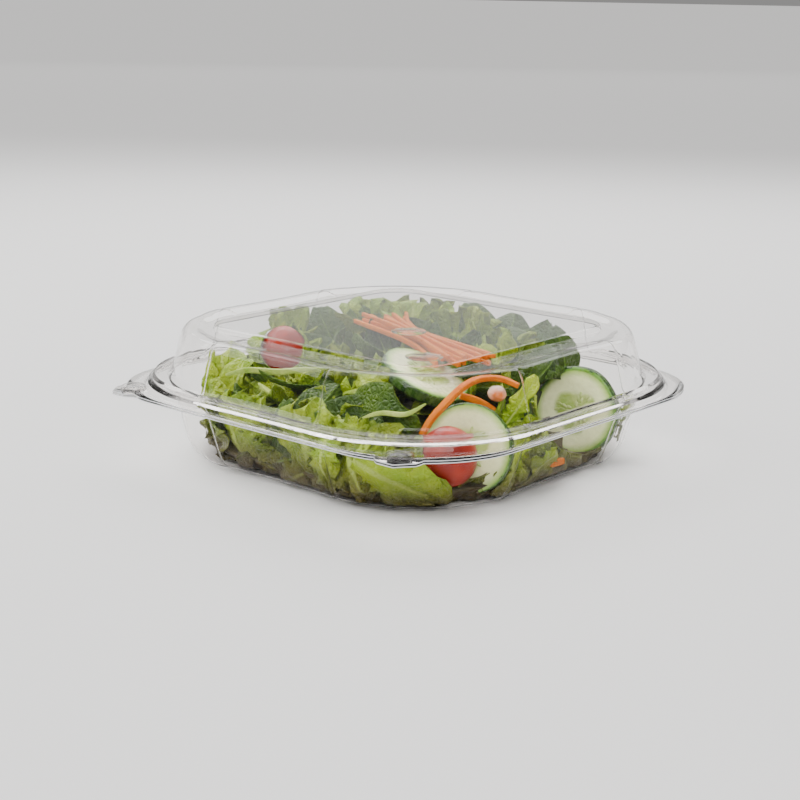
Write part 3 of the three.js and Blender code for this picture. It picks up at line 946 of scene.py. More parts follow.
def build_tomato(name, radius, place, turn):
    """A ball whose axis lies along Y, with a dimple at the stem and a smaller one at the other end."""
    bm = bmesh.new()
    bmesh.ops.create_uvsphere(bm, u_segments=64, v_segments=40, radius=radius * MM)
    along_y = Matrix.Rotation(-math.pi / 2, 4, "X")
    bmesh.ops.transform(bm, matrix=along_y, verts=bm.verts)
    for vert in bm.verts:
        lift = vert.co.y / (radius * MM)
        around = math.atan2(vert.co.z, vert.co.x)
        dimple = 0.08 * math.exp(-(1 - lift) * 18) + 0.012 * math.exp(-(1 + lift) * 25)
        ribs = 0.006 * math.cos(5 * around) * (1 - lift * lift) * lift
        vert.co *= 1 - dimple + ribs
        vert.co.y *= TOMATO_STRETCH
    scar_place = Matrix.Translation(Vector((0, radius * TOMATO_STRETCH * 0.93, 0)) * MM)
    matrix = scar_place @ along_y @ Matrix.Diagonal((1, 1, SCAR_FLATNESS, 1))
    skin_faces = len(bm.faces)
    bmesh.ops.create_icosphere(bm, subdivisions=3, radius=SCAR_R * MM, matrix=matrix)
    mark_faces(bm, skin_faces, 1)
    keep_local(bm, "tomato_place")
    bmesh.ops.transform(bm, matrix=place_matrix(place, turn), verts=bm.verts)
    piece(name + "_fruit", bm, [TOMATO_SKIN, SCAR], "base", [name])


TOMATO_SKIN, SCAR = tomato_skin(), stem_scar()
for name, (radius, place, turn) in TOMATOES.items():
    build_tomato(name, radius, place, turn)

# %% [markdown]
# ## Carrot strips
#
# The strips are cut square from a carrot and bend as they like. A curve object with a round bevel would
# make them look like wire, so a small square section is pushed along a smooth curve, its long edges are
# broken with a bevel, and its ends stay cut. The orange is deeper in some strips than in others, with fine
# fibres along the strip. It is kept rather dark, as a bright orange turns to salmon under strong light.

# %% Curves and sections of the strips
CARROT_W = 3.2
CARROT_T = 2.4
STRIP_STEP = 2.5
STRIP_EDGE = 0.32
STRIP_CORNERS = ((1, 1), (-1, 1), (-1, -1), (1, -1))
CURVE_STEPS = 24


def above_rim(x, y, z):
    return Vector((x, y, RIM_Z + z))


def smooth_curve(points, count):
    """A centripetal Catmull-Rom curve through the points, as count + 1 even points."""
    ends = [2 * points[0] - points[1]] + list(points) + [2 * points[-1] - points[-2]]
    dense = []
    for p0, p1, p2, p3 in zip(ends, ends[1:], ends[2:], ends[3:]):
        t1 = (p1 - p0).length ** 0.5
        t2 = t1 + (p2 - p1).length ** 0.5
        t3 = t2 + (p3 - p2).length ** 0.5
        for k in range(CURVE_STEPS):
            t = t1 + (t2 - t1) * k / CURVE_STEPS
            a1 = p0.lerp(p1, t / t1)
            a2 = p1.lerp(p2, (t - t1) / (t2 - t1))
            a3 = p2.lerp(p3, (t - t2) / (t3 - t2))
            b1 = a1.lerp(a2, t / t2)
            b2 = a2.lerp(a3, (t - t1) / (t3 - t1))
            dense.append(b1.lerp(b2, (t - t1) / (t2 - t1)))
    dense.append(points[-1])
    way = [0.0]
    for a, b in zip(dense, dense[1:]):
        way.append(way[-1] + (b - a).length)
    even, i = [], 0
    for k in range(count + 1):
        target = way[-1] * k / count
        while i < len(way) - 2 and way[i + 1] < target:
            i += 1
        span = way[i + 1] - way[i]
        even.append(dense[i].lerp(dense[i + 1], (target - way[i]) / span if span else 0))
    return even


def curve_length(points):
    return sum((b - a).length for a, b in zip(points, points[1:]))


def strip_frames(path):
    """A pair of cross directions at each point, carried along the curve without twisting."""
    tangents = []
    for i in range(len(path)):
        tangents.append((path[min(i + 1, len(path) - 1)] - path[max(i - 1, 0)]).normalized())
    first = tangents[0]
    sizes = [abs(c) for c in first]
    axis = Vector((0, 0, 0))
    axis[max(i for i in range(3) if sizes[i] == min(sizes))] = 1
    normal = first.cross(first.cross(axis).normalized())
    frames = []
    for i, tangent in enumerate(tangents):
        if i:
            normal = tangents[i - 1].rotation_difference(tangent) @ normal
        frames.append((normal, tangent.cross(normal)))
    return frames


def add_strip(bm, layer, points, tint, rng, scale=1.0, taper=0.12):
    """One square strip with broken edges: a square is extruded from point to point."""
    count = max(6, round(curve_length(points) / STRIP_STEP))
    path = smooth_curve(points, count)
    frames = strip_frames(path)
    made = bmesh.ops.create_circle(bm, cap_ends=True, segments=4, radius=1)["verts"]
    ring, all_verts = list(made), list(made)
    for i, (point, (across, over)) in enumerate(zip(path, frames)):
        if i:
            edges = [bm.edges.get((ring[k], ring[(k + 1) % 4])) for k in range(4)]
            geom = bmesh.ops.extrude_edge_only(bm, edges=edges)["geom"]
            fresh = {g for g in geom if isinstance(g, bmesh.types.BMVert)}
            ring = [next(e.other_vert(v) for e in v.link_edges if e.other_vert(v) in fresh) for v in ring]
            all_verts += ring
        thin = scale * (1 - taper * abs(2 * i / count - 1) ** 3 + rng.uniform(-0.02, 0.02))
        for vert, (a, b) in zip(ring, STRIP_CORNERS):
            place = point + across * (a * CARROT_W / 2 * thin) + over * (b * CARROT_T / 2 * thin)
            vert.co = place * MM
            vert[layer] = Vector((a * CARROT_W / 2, b * CARROT_T / 2 + 40 * tint, i * STRIP_STEP))
    bmesh.ops.contextual_create(bm, geom=ring)
    own = set(all_verts)
    edges = [e for e in bm.edges if e.verts[0] in own and e.verts[1] in own]
    bmesh.ops.bevel(
        bm, geom=edges, offset=STRIP_EDGE * MM, offset_type="OFFSET", affect="EDGES",
        segments=2, profile=0.5, material=-1, clamp_overlap=True,
    )


def carrot_flesh():
    finish = Finish("carrot_flesh")
    place = finish.attribute("strip_place")
    tone = finish.mottle(place, 0.05, (0.56, 0.115, 0.0), (0.7, 0.18, 0.0))
    stretched = finish.put("Mapping", Vector=place, Scale=(1, 1, 0.12)).outputs["Vector"]
    fibres = finish.noise(stretched, 2.2, 3.0)
    colour = finish.mix(finish.ramp(fibres, 0.52, 0.75), tone, (0.8, 0.27, 0.0))
    roughness, _ = finish.film(place, 0.5, dry=0.5, wet=0.25)
    finish.set(Base_Color=colour, Roughness=roughness, Specular_IOR_Level=0.15, Subsurface_Weight=0.2,
               Subsurface_Radius=(0.004, 0.0015, 0.0005), Subsurface_Scale=0.5)
    finish.bump(fibres, 0.0004, 0.7)
    return finish.material


CARROT = carrot_flesh()
print("material:", CARROT.name)

# %% [markdown]
# ## Where the strips lie
#
# Three strips lie alone, and each follows the few places that its solid goes through. The bundle on top is
# a dozen thinner strips that lie side by side and cross. They could be dropped by a physics simulation, but
# then they would leave the room that the solid bundle holds, so their ends are spread by a seeded rule.

# %% The single strips and the bundle
SINGLE_STRIPS = {
    "carrot_arch": [(60, -59.5, -9), (61, -54.5, -2.5), (65, -49, 5), (67.5, -41, 11), (69, -30.5, 13.6),
                    (74, -21, 12.8), (81, -16.7, 9.8)],
    "carrot_short": [(62.5, -36, 5.6), (67.5, -30, 3), (72.5, -23.5, -1.8)],
    "carrot_low": [(82, -9, -28), (88, -3, -28.5), (91, 6, -28)],
}
BUNDLE_STRIPS = 12
BUNDLE_SCALE = 0.78
LAYER_STEP = 1.9


def bundle_paths(rng):
    """Strips that lie side by side and cross, in the room that the solid bundle holds."""
    paths = []
    for i in range(BUNDLE_STRIPS):
        side = 2 * i / (BUNDLE_STRIPS - 1) - 1
        layer = (i % 3 - 1) * LAYER_STEP
        lag = rng.uniform(-6, 8)
        start = above_rim(-40 + 10 * side + lag, 26 + 10 * side - lag / 2, 17.5 + layer * 0.8)
        middle = above_rim(6 + rng.uniform(-3, 3), -2 + 5.5 * side + rng.uniform(-2, 2), 19.4 + layer)
        end_x, end_y = 60 + 7 * side - rng.uniform(0, 9), -22 + 9 * side + rng.uniform(-3, 3)
        paths.append([start, middle, above_rim(end_x, end_y, 18.6 + layer * 0.8)])
    return paths


def build_strips(name, paths, node, rng, scale=1.0):
    bm = bmesh.new()
    layer = bm.verts.layers.float_vector.new("strip_place")
    for k, path in enumerate(paths):
        add_strip(bm, layer, path, k + rng.random(), rng, scale)
    piece(name, bm, [CARROT], "base", [node])


strip_rng = random.Random(8)
for name, points in SINGLE_STRIPS.items():
    build_strips(name + "_strip", [[above_rim(*p) for p in points]], name, strip_rng)
build_strips("carrot_bundle_strips", bundle_paths(strip_rng), "carrot_bundle", strip_rng, BUNDLE_SCALE)

# %% [markdown]
# ## Chunk of peeled root
#
# Beside the top slice lies one small, very wet chunk, orange on one side. The other side of its colour is
# painted nearly white as a highlight. It could be carved from a cube, but its edges are all worn round, so
# it is a ball flattened three ways and dented by noise.

# %% Wet chunk with a painted highlight
CHUNK_SIZE = (6.2, 4.8, 4)
CHUNK_PLACE = (71.5, -20.5, RIM_Z + 5.2)
CHUNK_TURN = (0, 0, -40)
CHUNK_DENT = 0.09


def chunk_flesh_and_highlight():
    finish = Finish("chunk_flesh_and_highlight")
    place = finish.attribute("chunk_place")
    x, _, _ = finish.split(place)
    side = finish.math("MULTIPLY_ADD", finish.noise(place, 0.3), 4.0, x)
    # The nearly white end of this colour is a painted highlight; the orange end is the chunk's own colour.
    colour = finish.mix(finish.ramp(side, 1.5, 8.0), (0.82, 0.62, 0.5), (0.75, 0.17, 0.02))
    roughness, wet = finish.film(place, 0.5, dry=0.25, wet=0.08)
    finish.set(Base_Color=colour, Roughness=roughness, Coat_Weight=0.6, Coat_Roughness=0.06)
    finish.bump(wet, 0.0006, 0.6)
    return finish.material


def build_chunk():
    bm = bmesh.new()
    bmesh.ops.create_icosphere(bm, subdivisions=4, radius=1)
    for vert in bm.verts:
        dent = 1 - CHUNK_DENT * (noise.noise(vert.co * 1.8) + 1)
        vert.co = Vector(s * c * dent for s, c in zip(CHUNK_SIZE, vert.co)) * MM
    keep_local(bm, "chunk_place")
    bmesh.ops.transform(bm, matrix=place_matrix(CHUNK_PLACE, CHUNK_TURN), verts=bm.verts)
    piece("root_chunk_piece", bm, [chunk_flesh_and_highlight()], "base", ["root_chunk"])


build_chunk()

# %% [markdown]
# ## The heap under the leaves
#
# A salad is leaves all the way down, but only the outer ones can be seen. Under them lies one dark, uneven
# mound with the same form as the heap's solid, low where the tomato and the slices stand at the wall. It
# is lofted from rings, and its very dark green is painted shade: it fills the gaps between leaves with the
# dark that shaded gaps show. Towards the floor it turns brown, partly for a film of dressing and partly as
# painted shade. The box could be filled with leaves down to the floor, but nobody would see most of them.
# The toppings were laid on last, so the mound also dips where it would hide one from the side where they
# show.

# %% Dark core of the heap
BED_Z = 11.0
CORE_RINGS = 20
CORE_SINK = 1.2
CORE_FLOOR = 1.6
FOOT_STEPS = 5
EDGE_DEPTH = 11
HEAP_PEAK = 17
HEAP_MIDDLE = (-18, 26)
HEAP_SPREAD = 4200
# Bays in the heap's edge where toppings stand: direction, width and depth.
BAYS = [(-0.62, 0.42, 0.36), (0.34, 0.36, 0.34)]
BAY_LEAVES = [-1.05, -0.66, -0.27, 0.1, 0.42]
# Brown towards the floor: partly a film of dressing, partly painted shade.
DRESSING_AND_SHADE_BROWN = (0.07, 0.038, 0.014)
# The direction from which the toppings show, and the middle and radius of what has to show from there.
OPEN_SIDE = Vector((0.636, -0.736, 0.23))
SHOWN = [
    (Vector((-60, -26, RIM_Z + 6.5)), 11.5),
    (Vector((40, -34, RIM_Z + 8)), 15),
    (Vector((70.6, 45, RIM_Z - 15.4)), 20),
    (Vector((58, 42, RIM_Z - 14)), 13),
    (Vector((72.2, -41.5, RIM_Z - 14)), 15),
    (Vector((75.1, -59.2, RIM_Z - 14)), 11),
    (Vector((67.5, -41, RIM_Z + 10)), 5),
    (Vector((69, -31, RIM_Z + 12)), 5),
    (Vector((75, -20, RIM_Z + 11)), 5),
    (Vector((71.5, -20.5, RIM_Z + 5.2)), 5.5),
]


def in_front(p, centre):
    """How far a point lies on the open side of a place, and its offset across that direction."""
    away = p - centre
    along = away.dot(OPEN_SIDE)
    return along, away - OPEN_SIDE * along


def below_toppings(p):
    """Lowers a point of the core that would hide a topping from the open side."""
    upright = Vector((0, 0, 1)) - OPEN_SIDE * OPEN_SIDE.z
    for centre, radius in SHOWN:
        along, across = in_front(p, centre)
        if along > 0 and across.length < radius:
            slope, square = across.dot(upright), upright.length_squared
            root = math.sqrt(slope ** 2 + square * (radius ** 2 - across.length_squared))
            p = Vector((p.x, p.y, max(CORE_FLOOR, p.z - (slope + root) / square)))
    return p


def core_reach(x, y):
    """How much of its full reach the core has in a direction: less where a topping stands outside it."""
    angle = math.atan2(y, x)
    return 1 - sum(depth * math.exp(-(((angle - a) / width) ** 2)) for a, width, depth in BAYS)


def empty_corner(x, y):
    """How much lower the heap lies in the right and left corners, in mm."""
    return 11 * smoothstep(85, 140, x + y) + 6 * smoothstep(95, 150, -x - y)


def core_height(x, y):
    away = (x - HEAP_MIDDLE[0]) ** 2 + (y - HEAP_MIDDLE[1]) ** 2
    peak = HEAP_PEAK * math.exp(-away / HEAP_SPREAD)
    return RIM_Z - EDGE_DEPTH + peak - empty_corner(x, y) + 1.6 * math.sin(x / 7) * math.cos(y / 8)


def core_shade_material():
    finish = Finish("heap_core")
    place = finish.place()
    # The core's very dark green is painted shade: it stands for the shaded depths between the leaves.
    tone = finish.mottle(place, 90.0, (0.02, 0.03, 0.004), (0.09, 0.1, 0.012))
    _, _, z = finish.split(place)
    roughness, wet = finish.film(place, 160.0, dry=0.6, wet=0.3)
    # Towards the floor the core turns brown: partly dressing, partly painted shade.
    finish.set(Base_Color=finish.mix(finish.ramp(z, 0.016, 0.004), tone, DRESSING_AND_SHADE_BROWN), Roughness=roughness)
    finish.bump(wet, 0.002, 0.8)
    return finish.material


def pulled(half, corner, z):
    """A level of the core, drawn in where a topping stands at the wall."""
    return [Vector((*(p.xy * core_reach(p.x, p.y)), p.z)) for p in outline(half, corner, z)]


def build_core():
    """Rings from the middle of the top outwards, then down the foot to the floor."""
    edge = pulled(80, 56, 0)
    top = []
    for k in range(1, CORE_RINGS + 1):
        share = k / CORE_RINGS
        ring = []
        for p in edge:
            x, y = p.x * share / MM, p.y * share / MM
            rough = 1.2 * noise.noise(Vector((x, y, 0)) * 0.12)
            ring.append(Vector((x, y, core_height(x, y) - CORE_SINK + rough)) * MM)
        top.append(ring)
    levels = [pulled(83, 57, BED_Z + 2), outline(87, 56, BED_Z - 2), outline(79, 49, CORE_FLOOR)]
    foot = [levels[0]]
    for above, below in zip(levels, levels[1:]):
        for k in range(1, FOOT_STEPS + 1):
            foot.append([a.lerp(b, k / FOOT_STEPS) for a, b in zip(above, below)])
    loops = [[below_toppings(p / MM) * MM for p in loop] for loop in top + foot]
    bm = bmesh.new()
    loft(bm, loops)
    piece("heap_core", bm, [core_shade_material()], "base", ["salad"])


build_core()

# %% [markdown]
# ## Leaves
#
# Two kinds of leaf make the heap: curly lettuce, yellow-green with a pale rib and a frilled edge, and young
# spinach, darker and smoother. Each leaf starts as a flat grid and is shaped by a few rules: its outline,
# a bend along its length, a cup across it, ruffles that grow towards the edge, and fine blisters between
# the veins. A picture of a leaf on a flat card would be lighter, but its edge would look cut with scissors.
# A Solidify modifier makes it a thin closed solid at the end. Its own coordinates are kept as an attribute,
# so that the midrib and the veins can follow it.

# %% The shape of one leaf
LEAF_COLUMNS = 22
LEAF_ROWS = 30
LEAF_THICKNESS = 0.4
RUFFLE_LENGTH = 11.0


def leaf_spread(kind, t):
    """Half the leaf's width at a share t of its length, as a share of its full half width."""
    if kind == "spinach":
        return max(0.02, math.sin(math.pi * (0.06 + 0.9 * t) ** 0.8)) ** 0.75
    body = 0.28 + 0.72 * math.sin(math.pi * min(0.96, 0.18 + 0.74 * t))
    tip = math.sqrt(max(0.0, 1 - max(0.0, (t - 0.78) / 0.24) ** 2))
    return body * max(0.2, tip)


def leaf_point(kind, s, t, form):
    """A point of the leaf in its own frame: X across, Y through and Z along the leaf, in mm.

    The form is length, width, bend and frill in mm, and a phase that makes each leaf its own.
    """
    length, width, bend, frill, phase = form
    seed = Vector((phase * 9, phase * 4, 0))
    spread = width * leaf_spread(kind, t) / 2
    x = s * spread
    z = length * (t - 0.5)
    y = bend * (4 * (t - 0.5) ** 2 - 0.5)
    edge = min(1.0, math.hypot(s, max(0.0, t - 0.3) / 0.7))
    angle = math.atan2(x, z + 0.2 * length)
    around = angle * 0.5 * (width + length) / 2
    if kind == "spinach":
        y += 0.10 * width * abs(s) ** 1.3 + 0.4 * frill * edge ** 2 * math.sin(around / 6 + phase)
        y += 0.5 * noise.noise(Vector((x, z, 0)) * 0.16 + seed)
        y -= 0.7 * math.exp(-((s * 6) ** 2))
        return Vector((x, y, z))
    y += 0.18 * width * s * s + frill * abs(s) * math.sin(6.5 * t + phase + (1.7 if s > 0 else 0))
    grown = smoothstep(0.35, 1.0, edge)
    wave = 2 * math.pi * around / RUFFLE_LENGTH + phase
    ruffle = math.sin(wave + 2.2 * noise.noise(Vector((x, z, 0)) * 0.09 + seed))
    ruffle += 0.5 * math.sin(2.3 * wave + 1.3)
    y += 1.35 * frill * grown ** 1.6 * ruffle
    y += 0.9 * noise.noise(Vector((x, z, 5)) * 0.24 + seed)
    x += 0.8 * frill * grown ** 2 * math.sin(2.1 * wave + 0.6)
    z += 0.7 * frill * grown ** 2 * math.cos(1.7 * wave) * (0.3 + t)
    return Vector((x, y, z))


print("points of a leaf:", LEAF_COLUMNS * LEAF_ROWS)

# %% [markdown]
# ## Leaves against the wall
#
# Real leaves press flat against the clear wall and bend round the tomatoes and slices. A cloth simulation
# could find that rest, but slowly, and not the same each time. Here each point of a leaf that would lie
# outside is moved back to the wall, with shallow waves so that it does not lie there like a print, and a
# point inside a vegetable is pushed out of it. Leaves in front of a topping are parted, so that it shows.

# %% Keep each leaf inside the box and clear of the vegetables
WALL_CLEAR = 0.7
# The inside of the shut box: height, half width, corner and flute, from the floor to the shoulder.
INNER_WALL = [
    (0.8, 84, 50, 0.6), (3, 90.5, 56, 0.9), (8.4, 94.2, 60.5, 1), (31, 102.2, 75.5, 0.8),
    (36.4, 103.7, 75.4, 0.6), (41.4, 103.5, 76.6, 0.8), (56.7, 99.8, 73, 1), (60, 97.6, 70.8, 1),
    (61.5, 95.5, 68.6, 1), (62.2, 92, 65, 0.9),
]
CEILING_MOAT = RIM_Z + 21.0
CEILING_PANEL = RIM_Z + 23.6
CEILING_EDGE = 69.5
FLOOR_CLEAR = 1.5
WAVE_DEPTH = 1.3
WAVE_SCALE = 0.13
SKIN_CLEAR = 0.6
FACE_CLEAR = 0.5
RIM_ZONE = 2.5
PARTED_SHARE = 0.8


def wall_at(z):
    """Half width, corner and flute of the box's inside at a height."""
    for low, high in zip(INNER_WALL, INNER_WALL[1:]):
        if z < high[0]:
            share = min(1.0, max(0.0, (z - low[0]) / (high[0] - low[0])))
            return [a + (b - a) * share for a, b in zip(low[1:], high[1:])]
    return INNER_WALL[-1][1:]


def kept_inside(p, depth=0.0):
    """Moves a point in mm back inside the shut box, if it lies outside, and so much deeper than the wall."""
    top = CEILING_PANEL if max(abs(p.x), abs(p.y)) < CEILING_EDGE else CEILING_MOAT
    z = min(top, max(FLOOR_CLEAR, p.z))
    half, corner, flute = wall_at(z)
    straight = half - corner
    qx, qy = abs(p.x) - straight, abs(p.y) - straight
    if qx > 0 and qy > 0:
        way = math.hypot(qx, qy)
        out, direction = way - corner, Vector((qx / way, qy / way))
    elif qx > qy:
        out, direction = qx - corner, Vector((1, 0))
    else:
        out, direction = qy - corner, Vector((0, 1))
    out += flute * flute_inset(min(abs(p.x), abs(p.y))) + WALL_CLEAR + depth
    if out <= 0:
        return Vector((p.x, p.y, z))
    waves = 1 + noise.noise(p * WAVE_SCALE)
    out += smoothstep(0, 3, out) * WAVE_DEPTH * waves + min(2.0, 0.15 * out)
    x = math.copysign(max(0.0, abs(p.x) - out * direction.x), p.x)
    y = math.copysign(max(0.0, abs(p.y) - out * direction.y), p.y)
    return Vector((x, y, z))


def clear_of_vegetables(p):
    """Pushes a point out of the tomatoes and slices."""
    for radius, place, turn in TOMATOES.values():
        away = p - Vector(place)
        reach = radius * 1.05 + SKIN_CLEAR
        if away.length < reach:
            p = Vector(place) + away.normalized() * reach
    for normal, radius, place in SLICE_PLANES:
        away = p - place
        height = away.dot(normal)
        across = away - normal * height
        room = SLICE_T / 2 + FACE_CLEAR
        if abs(height) < room and across.length < radius + SKIN_CLEAR:
            if across.length > radius - RIM_ZONE:
                p = place + normal * height + across.normalized() * (radius + SKIN_CLEAR)
            else:
                p = place + across - normal * room
    return p


def open_view(p):
    """Moves a point that would hide a topping from the open side, or gives None where it is far inside."""
    for centre, radius in SHOWN:
        along, across = in_front(p, centre)
        if along > 0 and across.length < radius:
            if across.length < PARTED_SHARE * radius:
                return None
            p = centre + OPEN_SIDE * along + across.normalized() * radius
    return p


SLICE_PLANES = []
for radius, place, turn in SLICES.values():
    normal = turned(turn) @ Vector((0, 0, 1))
    if normal.z < 0.5:
        outward = Vector((place[0], place[1], 0))
        normal = normal if normal.dot(outward) > 0 else -normal
    SLICE_PLANES.append((normal, radius, Vector(place)))


def painted_light_share(p):
    """Painted shade for a leaf's colour: 1 in open light, less near the floor by the wall and under the top
    of the heap.
    """
    above = p.z - core_height(p.x, p.y)
    beside = max(abs(p.x), abs(p.y)) > 74
    unshaded = smoothstep(3, 36, p.z) if beside else smoothstep(-3, 9, above)
    return 0.25 + 0.75 * unshaded


def add_leaf(bm, layer, kind, form, place, turn, tint, fine, depth):
    """Adds one shaped leaf to a bmesh, turned about X, Y and Z in degrees and moved to its place in mm."""
    columns, rows = round(LEAF_COLUMNS * fine), round(LEAF_ROWS * fine)
    made = bmesh.ops.create_grid(bm, x_segments=columns, y_segments=rows, size=1)["verts"]
    rotation = turned(turn)
    hidden = []
    for vert in made:
        s, t = vert.co.x, (vert.co.y + 1) / 2
        p = rotation @ leaf_point(kind, s, t, form) + Vector(place)
        p = kept_inside(clear_of_vegetables(kept_inside(p, depth)), depth)
        shown = open_view(p)
        if shown is None:
            hidden.append(vert)
        else:
            vert.co = shown * MM
            # The third value is the leaf's tint times painted shade: lower near the floor and under the top
            # of the heap.
            vert[layer] = Vector((s, t, tint * painted_light_share(shown)))
    bmesh.ops.delete(bm, geom=hidden, context="VERTS")


print("planes of the slices:", len(SLICE_PLANES))

# %% [markdown]
# ## Leaf colours
#
# A leaf's colour is mixed from a pale and a dark tone by a tint of its own, and that tint also carries
# painted shade: it is lowered near the floor by the wall and under the top of the heap, so the tips on top
# are yellow-green and the leaves low in the heap are dark. Its midrib and side veins are lighter lines that
# follow the leaf. Towards the floor it turns brown, partly for a film of dressing and partly as painted
# shade.
# Photographs of leaves could give all this, but then every leaf would show the same spots. Noise and the
# leaf's own coordinates make each one different.

# %% Leaf colours
def leaf_material(name, pale_and_lit, dark_and_shaded, rib, rib_width, vein_count):
    """Colour from a leaf's own coordinates: s across, t along, and a tint of its own that also carries
    painted shade.
    """
    finish = Finish(name)
    s, t, tint = finish.split(finish.attribute("leaf_place"))
    side = finish.math("ABSOLUTE", s)
    place = finish.place()
    # A pale and a dark tone, mixed by the tint, which carries painted shade as well as each leaf's own tone.
    colour = finish.mix(tint, finish.mottle(place, 70.0, *dark_and_shaded), finish.mottle(place, 70.0, *pale_and_lit))
    rib_edge = finish.math("MULTIPLY_ADD", t, -0.8 * rib_width, rib_width + 0.01)
    midrib = finish.ramp(finish.math("DIVIDE", side, rib_edge), 1.5, 0.6)
    slant = finish.math("MULTIPLY_ADD", side, -0.42, t)
    bent = finish.math("MULTIPLY_ADD", finish.noise(place, 60.0), 0.12, slant)
    phase = finish.math("MULTIPLY", bent, vein_count * 2 * math.pi)
    veins = finish.ramp(finish.math("SINE", phase), 0.9, 1.0)
    lines = finish.math("MAXIMUM", midrib, finish.math("MULTIPLY", veins, 0.25))
    colour = finish.mix(finish.math("MULTIPLY", lines, 0.8), colour, rib)
    _, _, z = finish.split(place)
    # Towards the floor the leaf turns brown: partly dressing, partly painted shade.
    colour = finish.mix(finish.math("MULTIPLY", finish.ramp(z, 0.021, 0.005), 0.8), colour, DRESSING_AND_SHADE_BROWN)
    net = finish.put("TexVoronoi", Vector=place, Scale=420.0)
    net.feature = "DISTANCE_TO_EDGE"
    blister = finish.ramp(net.outputs["Distance"], 0.0, 0.35)
    roughness, _ = finish.film(place, 140.0, dry=0.52, wet=0.3)
    finish.set(Base_Color=colour, Roughness=roughness, Specular_IOR_Level=0.35)
    finish.bump(finish.math("MULTIPLY_ADD", lines, -0.8, blister), 0.0008, 0.65)
    return finish.material


LETTUCE = leaf_material(
    "lettuce_leaf", ((0.24, 0.4, 0.002), (0.4, 0.52, 0.006)), ((0.06, 0.09, 0.002), (0.14, 0.17, 0.004)),
    (0.44, 0.56, 0.1), 0.12, 7,
)
SPINACH = leaf_material(
    "spinach_leaf", ((0.055, 0.13, 0.002), (0.11, 0.2, 0.004)), ((0.01, 0.032, 0.001), (0.03, 0.065, 0.002)),
    (0.16, 0.28, 0.03), 0.04, 4,
)
print("materials:", LETTUCE.name, SPINACH.name)

# %% [markdown]
# ## Leaves in the places of the solid's leaves
#
# The heap's solid has leaves of its own, set out by a rule along the wall, in the bays, on the mound and as
# a crown at the back. Real leaves take their places here: the rule and its random draws are repeated, so
# that what shows keeps the form of the solid. Reading the places from the CAD mesh would be harder.

# %% Leaves in the places of the heap's solid
WALL_LEAVES = 12
TOP_LEAVES = 11
CROWN_LEAVES = 4
SOLID_LEAF_DEPTH = 0.8
LEAF_PIECES = {}


def seeded(seed):
    """The same simple random draw that set the solid's leaves out."""
    state = seed
    while True:
        state = (state * 1664525 + 1013904223) % 4294967296
        yield state / 4294967296


def grow(name, kind, form, place, turn, tint, fine=1.0, depth=0.0):
    """Adds a leaf to a piece. Depth in mm keeps leaves that are pressed to the wall from coinciding."""
    if name not in LEAF_PIECES:
        bm = bmesh.new()
        LEAF_PIECES[name] = (bm, bm.verts.layers.float_vector.new("leaf_place"))
    add_leaf(*LEAF_PIECES[name], kind, form, place, turn, tint, fine, depth)


def by_the_wall(angle, middle, corner):
    """X and Y in a direction: middle mm out at a side's middle, and corner mm more in a corner."""
    far = middle + corner * math.sin(2 * angle) ** 2
    return far * math.cos(angle), far * math.sin(angle)


def in_a_bay(angle, width):
    return any(abs(angle - bay[0]) < width for bay in BAYS)


def solid_leaves():
    """The leaves of the heap's solid, with the same random draws: kind of place, size, place and turn."""
    draw = seeded(5)
    made = []

    def leaf(where, length, width, bend, frill, place, turn):
        made.append((where, (length, width, bend, frill, 6 * next(draw)), place, turn))

    for k in range(WALL_LEAVES):
        angle = 2 * math.pi * (k + 0.35) / WALL_LEAVES - math.pi
        if in_a_bay(angle, 0.3):
            continue
        x, y = by_the_wall(angle, 90, 9)
        place = above_rim(x, y, -15 + 3 * next(draw) - empty_corner(x, y))
        facing = math.degrees(angle) + 90
        leaf("wall", 33, 42, 2, 1.6, place, (9 + 5 * next(draw), 22 * (next(draw) - 0.5), facing))
    for angle in BAY_LEAVES:
        place = above_rim(*by_the_wall(angle, 84, 5), -26)
        leaf("bay", 22, 36, 2, 2, place, (14, 20 * (next(draw) - 0.5), math.degrees(angle) + 90))
    for k in range(TOP_LEAVES):
        angle = 2 * math.pi * k / TOP_LEAVES + 0.4
        far = 44 + 20 * (k % 2)
        x, y = far * math.cos(angle) - 8, far * math.sin(angle) + 4
        place = above_rim(x, y, -3 + 9 * smoothstep(-60, 40, y - x / 2))
        turn_x = 52 + 22 * next(draw)
        leaf("top", 38, 40, 5, 2.6, place, (turn_x, 24 * (next(draw) - 0.5), math.degrees(angle) + 90))
    for k in range(CROWN_LEAVES):
        share = k / (CROWN_LEAVES - 1)
        place = above_rim(-66 + 104 * share, 44 + 16 * math.sin(math.pi * share), 6 + 2 * next(draw))
        turn_x = -20 + 30 * next(draw)
        leaf("crown", 22, 34, 4, 2.2, place, (turn_x, 24 * (next(draw) - 0.5), 25 - 60 * share))
    return made


leaf_rng = random.Random(21)
for i, (where, form, place, turn) in enumerate(solid_leaves()):
    dark = where == "top" and i % 3 == 0
    kind = "spinach" if dark else "lettuce"
    grow(f"{kind}_{where}", kind, form, place, turn, leaf_rng.uniform(0.3, 0.9), 1.0, SOLID_LEAF_DEPTH)

print("leaves of the solid:", i + 1)
